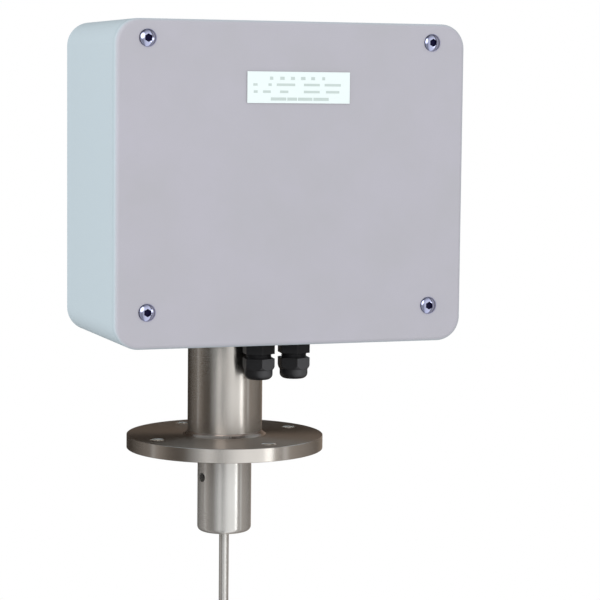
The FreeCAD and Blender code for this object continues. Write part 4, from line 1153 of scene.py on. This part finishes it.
@dataclass
class Studio:
    """White surroundings, soft lamps, a pale floor and the camera."""

    focal_mm: float = 130.8
    sensor_mm: float = 36.0
    camera_m: tuple[float, float, float] = (-0.6882, -2.0936, 0.3655)
    yaw_deg: float = 20.16
    pitch_deg: float = 5.551
    roll_deg: float = -0.592
    sight_m: float = 60.0
    floor_m: float = -3.4
    floor_half_m: float = 5.0
    soft_light: float = 0.86
    # Metal mirrors a darker ceiling, which sets in between these two sines of the elevation
    ceiling: float = 0.3
    ceiling_start: float = 0.45
    ceiling_full: float = 0.85
    aim_m: tuple[float, float, float] = (0.03, 0.0, 0.2)
    lamps: tuple[Lamp, ...] = (
        Lamp("key_lamp", (-1.4, -2.1, 0.9), (1.4, 1.4), 12.0),
        Lamp("left_lamp", (-2.6, 0.2, 0.9), (1.4, 1.4), 17.0),
        Lamp("right_lamp", (2.4, -1.2, 1.6), (1.4, 1.4), 6.0),
        Lamp("left_screw_lamp", (-1.05, -1.75, 0.95), (1.4, 1.6), 9.0, mirrored=True),
        Lamp("rim_lamp", (1.11, -1.66, -0.38), (0.42, 0.25), 0.5, mirrored=True),
        Lamp("right_screw_lamp", (0.84, -0.982, 0.27), (0.4, 0.4), 0.65, mirrored=True),
    )
    # Bearings from the camera's side of the object: minus is to its left.
    # The ends meet behind it, at an edge.
    bands: tuple[Band, ...] = (
        Band(-180, 0.07, "#c9b8a8"),
        Band(-140, 0.07, "#c9b8a8"),
        Band(-105, 0.22, "#d9cfc6"),
        Band(-94, 0.24, "#d9cfc6"),
        Band(-90, 0.42),
        Band(-86, 0.34, "#d9cfc6"),
        Band(-66, 0.16, "#d0c2b6"),
        Band(-52, 0.12, "#d0c2b6"),
        Band(-45, 0.15, "#d9cfc6"),
        Band(-36, 0.24),
        Band(-18, 0.40),
        Band(-5, 0.20),
        Band(12, 0.66),
        Band(24, 0.82),
        Band(42, 0.84),
        Band(46, 0.90),
        Band(58, 0.90),
        Band(62, 0.28, "#d9cfc6"),
        Band(72, 0.32, "#d9cfc6"),
        Band(77, 0.56),
        Band(84, 0.40, "#d9cfc6"),
        Band(112, 0.30, "#d9cfc6"),
        Band(140, 0.20, "#d0c2b6"),
        Band(180, 0.55, "#c9b8a8"),
    )

    def facing(self) -> tuple[np.ndarray, np.ndarray, np.ndarray]:
        """Work out the camera's directions from its yaw, pitch and roll.

        Returns:
            Unit vectors forward, to the picture's right and down.
        """
        yaw, pitch, roll = (math.radians(angle) for angle in (self.yaw_deg, self.pitch_deg, self.roll_deg))
        level = math.cos(pitch)
        forward = np.array([math.sin(yaw) * level, math.cos(yaw) * level, -math.sin(pitch)])
        right = np.array([math.cos(yaw), -math.sin(yaw), 0.0])
        down = np.cross(forward, right)
        tilted_right = math.cos(roll) * right + math.sin(roll) * down
        tilted_down = math.cos(roll) * down - math.sin(roll) * right
        return forward, tilted_right, tilted_down

    def build_camera(self) -> None:
        """Set up the camera at the photograph's place."""
        forward, right, down = self.facing()
        data = bpy.data.cameras.new("camera")
        data.sensor_width = self.sensor_mm
        data.lens = self.focal_mm
        data.clip_end = self.sight_m
        camera = bpy.data.objects.new("camera", data)
        turn = Matrix([right, -down, -forward]).transposed()
        camera.matrix_world = Matrix.Translation(self.camera_m) @ turn.to_4x4()
        bpy.context.scene.collection.objects.link(camera)
        bpy.context.scene.camera = camera

    def mirrored_room(self, tree: bpy.types.NodeTree) -> bpy.types.NodeSocket:
        """Make the room that metal mirrors: upright bands by bearing, under a darker ceiling.

        Args:
            tree: The tree that takes the nodes.

        Returns:
            The output of the room's light.
        """
        yaw = math.radians(self.yaw_deg)
        toward = (-math.sin(yaw), -math.cos(yaw), 0.0)
        right = (math.cos(yaw), -math.sin(yaw), 0.0)
        place = add_node(tree, "ShaderNodeTexCoord").outputs["Generated"]
        near = add_node(tree, "ShaderNodeVectorMath", {1: toward}, {0: place}, operation="DOT_PRODUCT")
        side = add_node(tree, "ShaderNodeVectorMath", {1: right}, {0: place}, operation="DOT_PRODUCT")
        bearing = add_node(
            tree,
            "ShaderNodeMath",
            links={0: side.outputs["Value"], 1: near.outputs["Value"]},
            operation="ARCTAN2",
        )
        share = add_node(
            tree,
            "ShaderNodeMapRange",
            {"From Min": -math.pi, "From Max": math.pi},
            {"Value": bearing.outputs[0]},
        )
        ramp = add_node(tree, "ShaderNodeValToRGB", links={0: share.outputs[0]})
        stops = ramp.color_ramp.elements
        while len(stops) < len(self.bands):
            stops.new(1.0)
        for stop, band in zip(stops, self.bands):
            stop.position = (band.bearing_deg + 180) / 360
            red, green, blue, _ = linear(band.colour)
            level = band.brightness
            stop.color = (red * level, green * level, blue * level, 1.0)
        up = add_node(tree, "ShaderNodeSeparateXYZ", links={0: place}).outputs["Z"]
        ceiling = add_node(
            tree,
            "ShaderNodeMapRange",
            {
                "From Min": self.ceiling_start,
                "From Max": self.ceiling_full,
                "To Min": 1.0,
                "To Max": self.ceiling,
            },
            {"Value": up},
        )
        room = add_node(
            tree,
            "ShaderNodeBackground",
            links={"Color": ramp.outputs[0], "Strength": ceiling.outputs[0]},
        )
        return room.outputs[0]

    def build_world(self) -> None:
        """Make the surroundings: white to the eye, even soft light, and a banded room in metal."""
        world = bpy.data.worlds.new("studio")
        world.use_nodes = True
        bpy.context.scene.world = world
        tree = world.node_tree
        tree.nodes.clear()
        colour = linear("#ffffff")
        rays = add_node(tree, "ShaderNodeLightPath")
        soft = add_node(tree, "ShaderNodeBackground", {"Color": colour, "Strength": self.soft_light})
        white = add_node(tree, "ShaderNodeBackground", {"Color": colour})
        lit = add_node(
            tree,
            "ShaderNodeMixShader",
            links={0: rays.outputs["Is Glossy Ray"], 1: soft.outputs[0], 2: self.mirrored_room(tree)},
        )
        seen = add_node(
            tree,
            "ShaderNodeMixShader",
            links={0: rays.outputs["Is Camera Ray"], 1: lit.outputs[0], 2: white.outputs[0]},
        )
        add_node(tree, "ShaderNodeOutputWorld", links={"Surface": seen.outputs[0]})

    def build_floor(self) -> None:
        """Lay the pale floor, below the lowest place of the weight."""
        corners = np.array([[-1.0, -1.0], [1.0, -1.0], [1.0, 1.0], [-1.0, 1.0]])
        points = np.column_stack([corners * self.floor_half_m, np.full(len(corners), self.floor_m)])
        floor = mesh_piece("floor", points, np.array([[0, 1, 2, 3]]), smooth=False)
        # Matt paint, so pale that only a shadow shows on it
        paint = MouldedPolymer("matt_floor_paint", "#f2f2f2", "#eeeeee", roughness=0.7, grain_mm=40.0)
        floor.data.materials.append(paint.build())
        floor.visible_glossy = False

    def build(self) -> None:
        """Make the whole studio."""
        self.build_camera()
        self.build_world()
        for lamp in self.lamps:
            lamp.build(self.aim_m)
        self.build_floor()


def dress_frame(finishes: Finishes) -> None:
    """Give every solid of the frame its finish.

    Args:
        finishes: The finishes of the object.
    """
    slots = {part["node"]: part["material_slot"] for part in frame["record"]["subparts"]}
    slots.update(guide_tube="ground_steel", hanger_rod="ground_steel", mounting_flange="flange_steel")
    # The cap nuts take the nylon with painted light on their right faces
    slots.update(gland_nut_left="nylon_with_painted_light", gland_nut_right="nylon_with_painted_light")
    for name, piece in frame["nodes"].items():
        finishes.dress(piece, slots[name])
        LOG.info("dressed %s as %s", name, slots[name])


def main() -> None:
    """Dress the frame, add the small pieces, and set up light and camera."""
    logging.basicConfig(level=logging.INFO, format="%(message)s")
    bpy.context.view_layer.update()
    finishes = Finishes()
    dress_frame(finishes)
    drum, roller, above_terminal, foot = ROPE_HEIGHTS_MM
    makers = [
        WeldBead(),
        GlandThread("gland_thread_left", x_mm=16.0),
        GlandThread("gland_thread_right", x_mm=53.0),
        PlatePrint(),
        CoverScrews(),
        SocketPaintedShade(),
        StrandedRope("rope_to_roller", drum, roller, "housing", "slack_arm"),
        StrandedRope("rope_past_roller", roller, above_terminal, "slack_arm", "housing"),
        StrandedRope("rope_to_weight", above_terminal, foot, "housing", "weight", grip_mm=16.0),
    ]
    for maker in makers:
        piece = maker.build(finishes)
        LOG.info("built %s with %d faces", piece.name, len(piece.data.polygons))
    Studio().build()
    bpy.context.scene.view_settings.view_transform = "Standard"


if __name__ == "__main__":
    main()
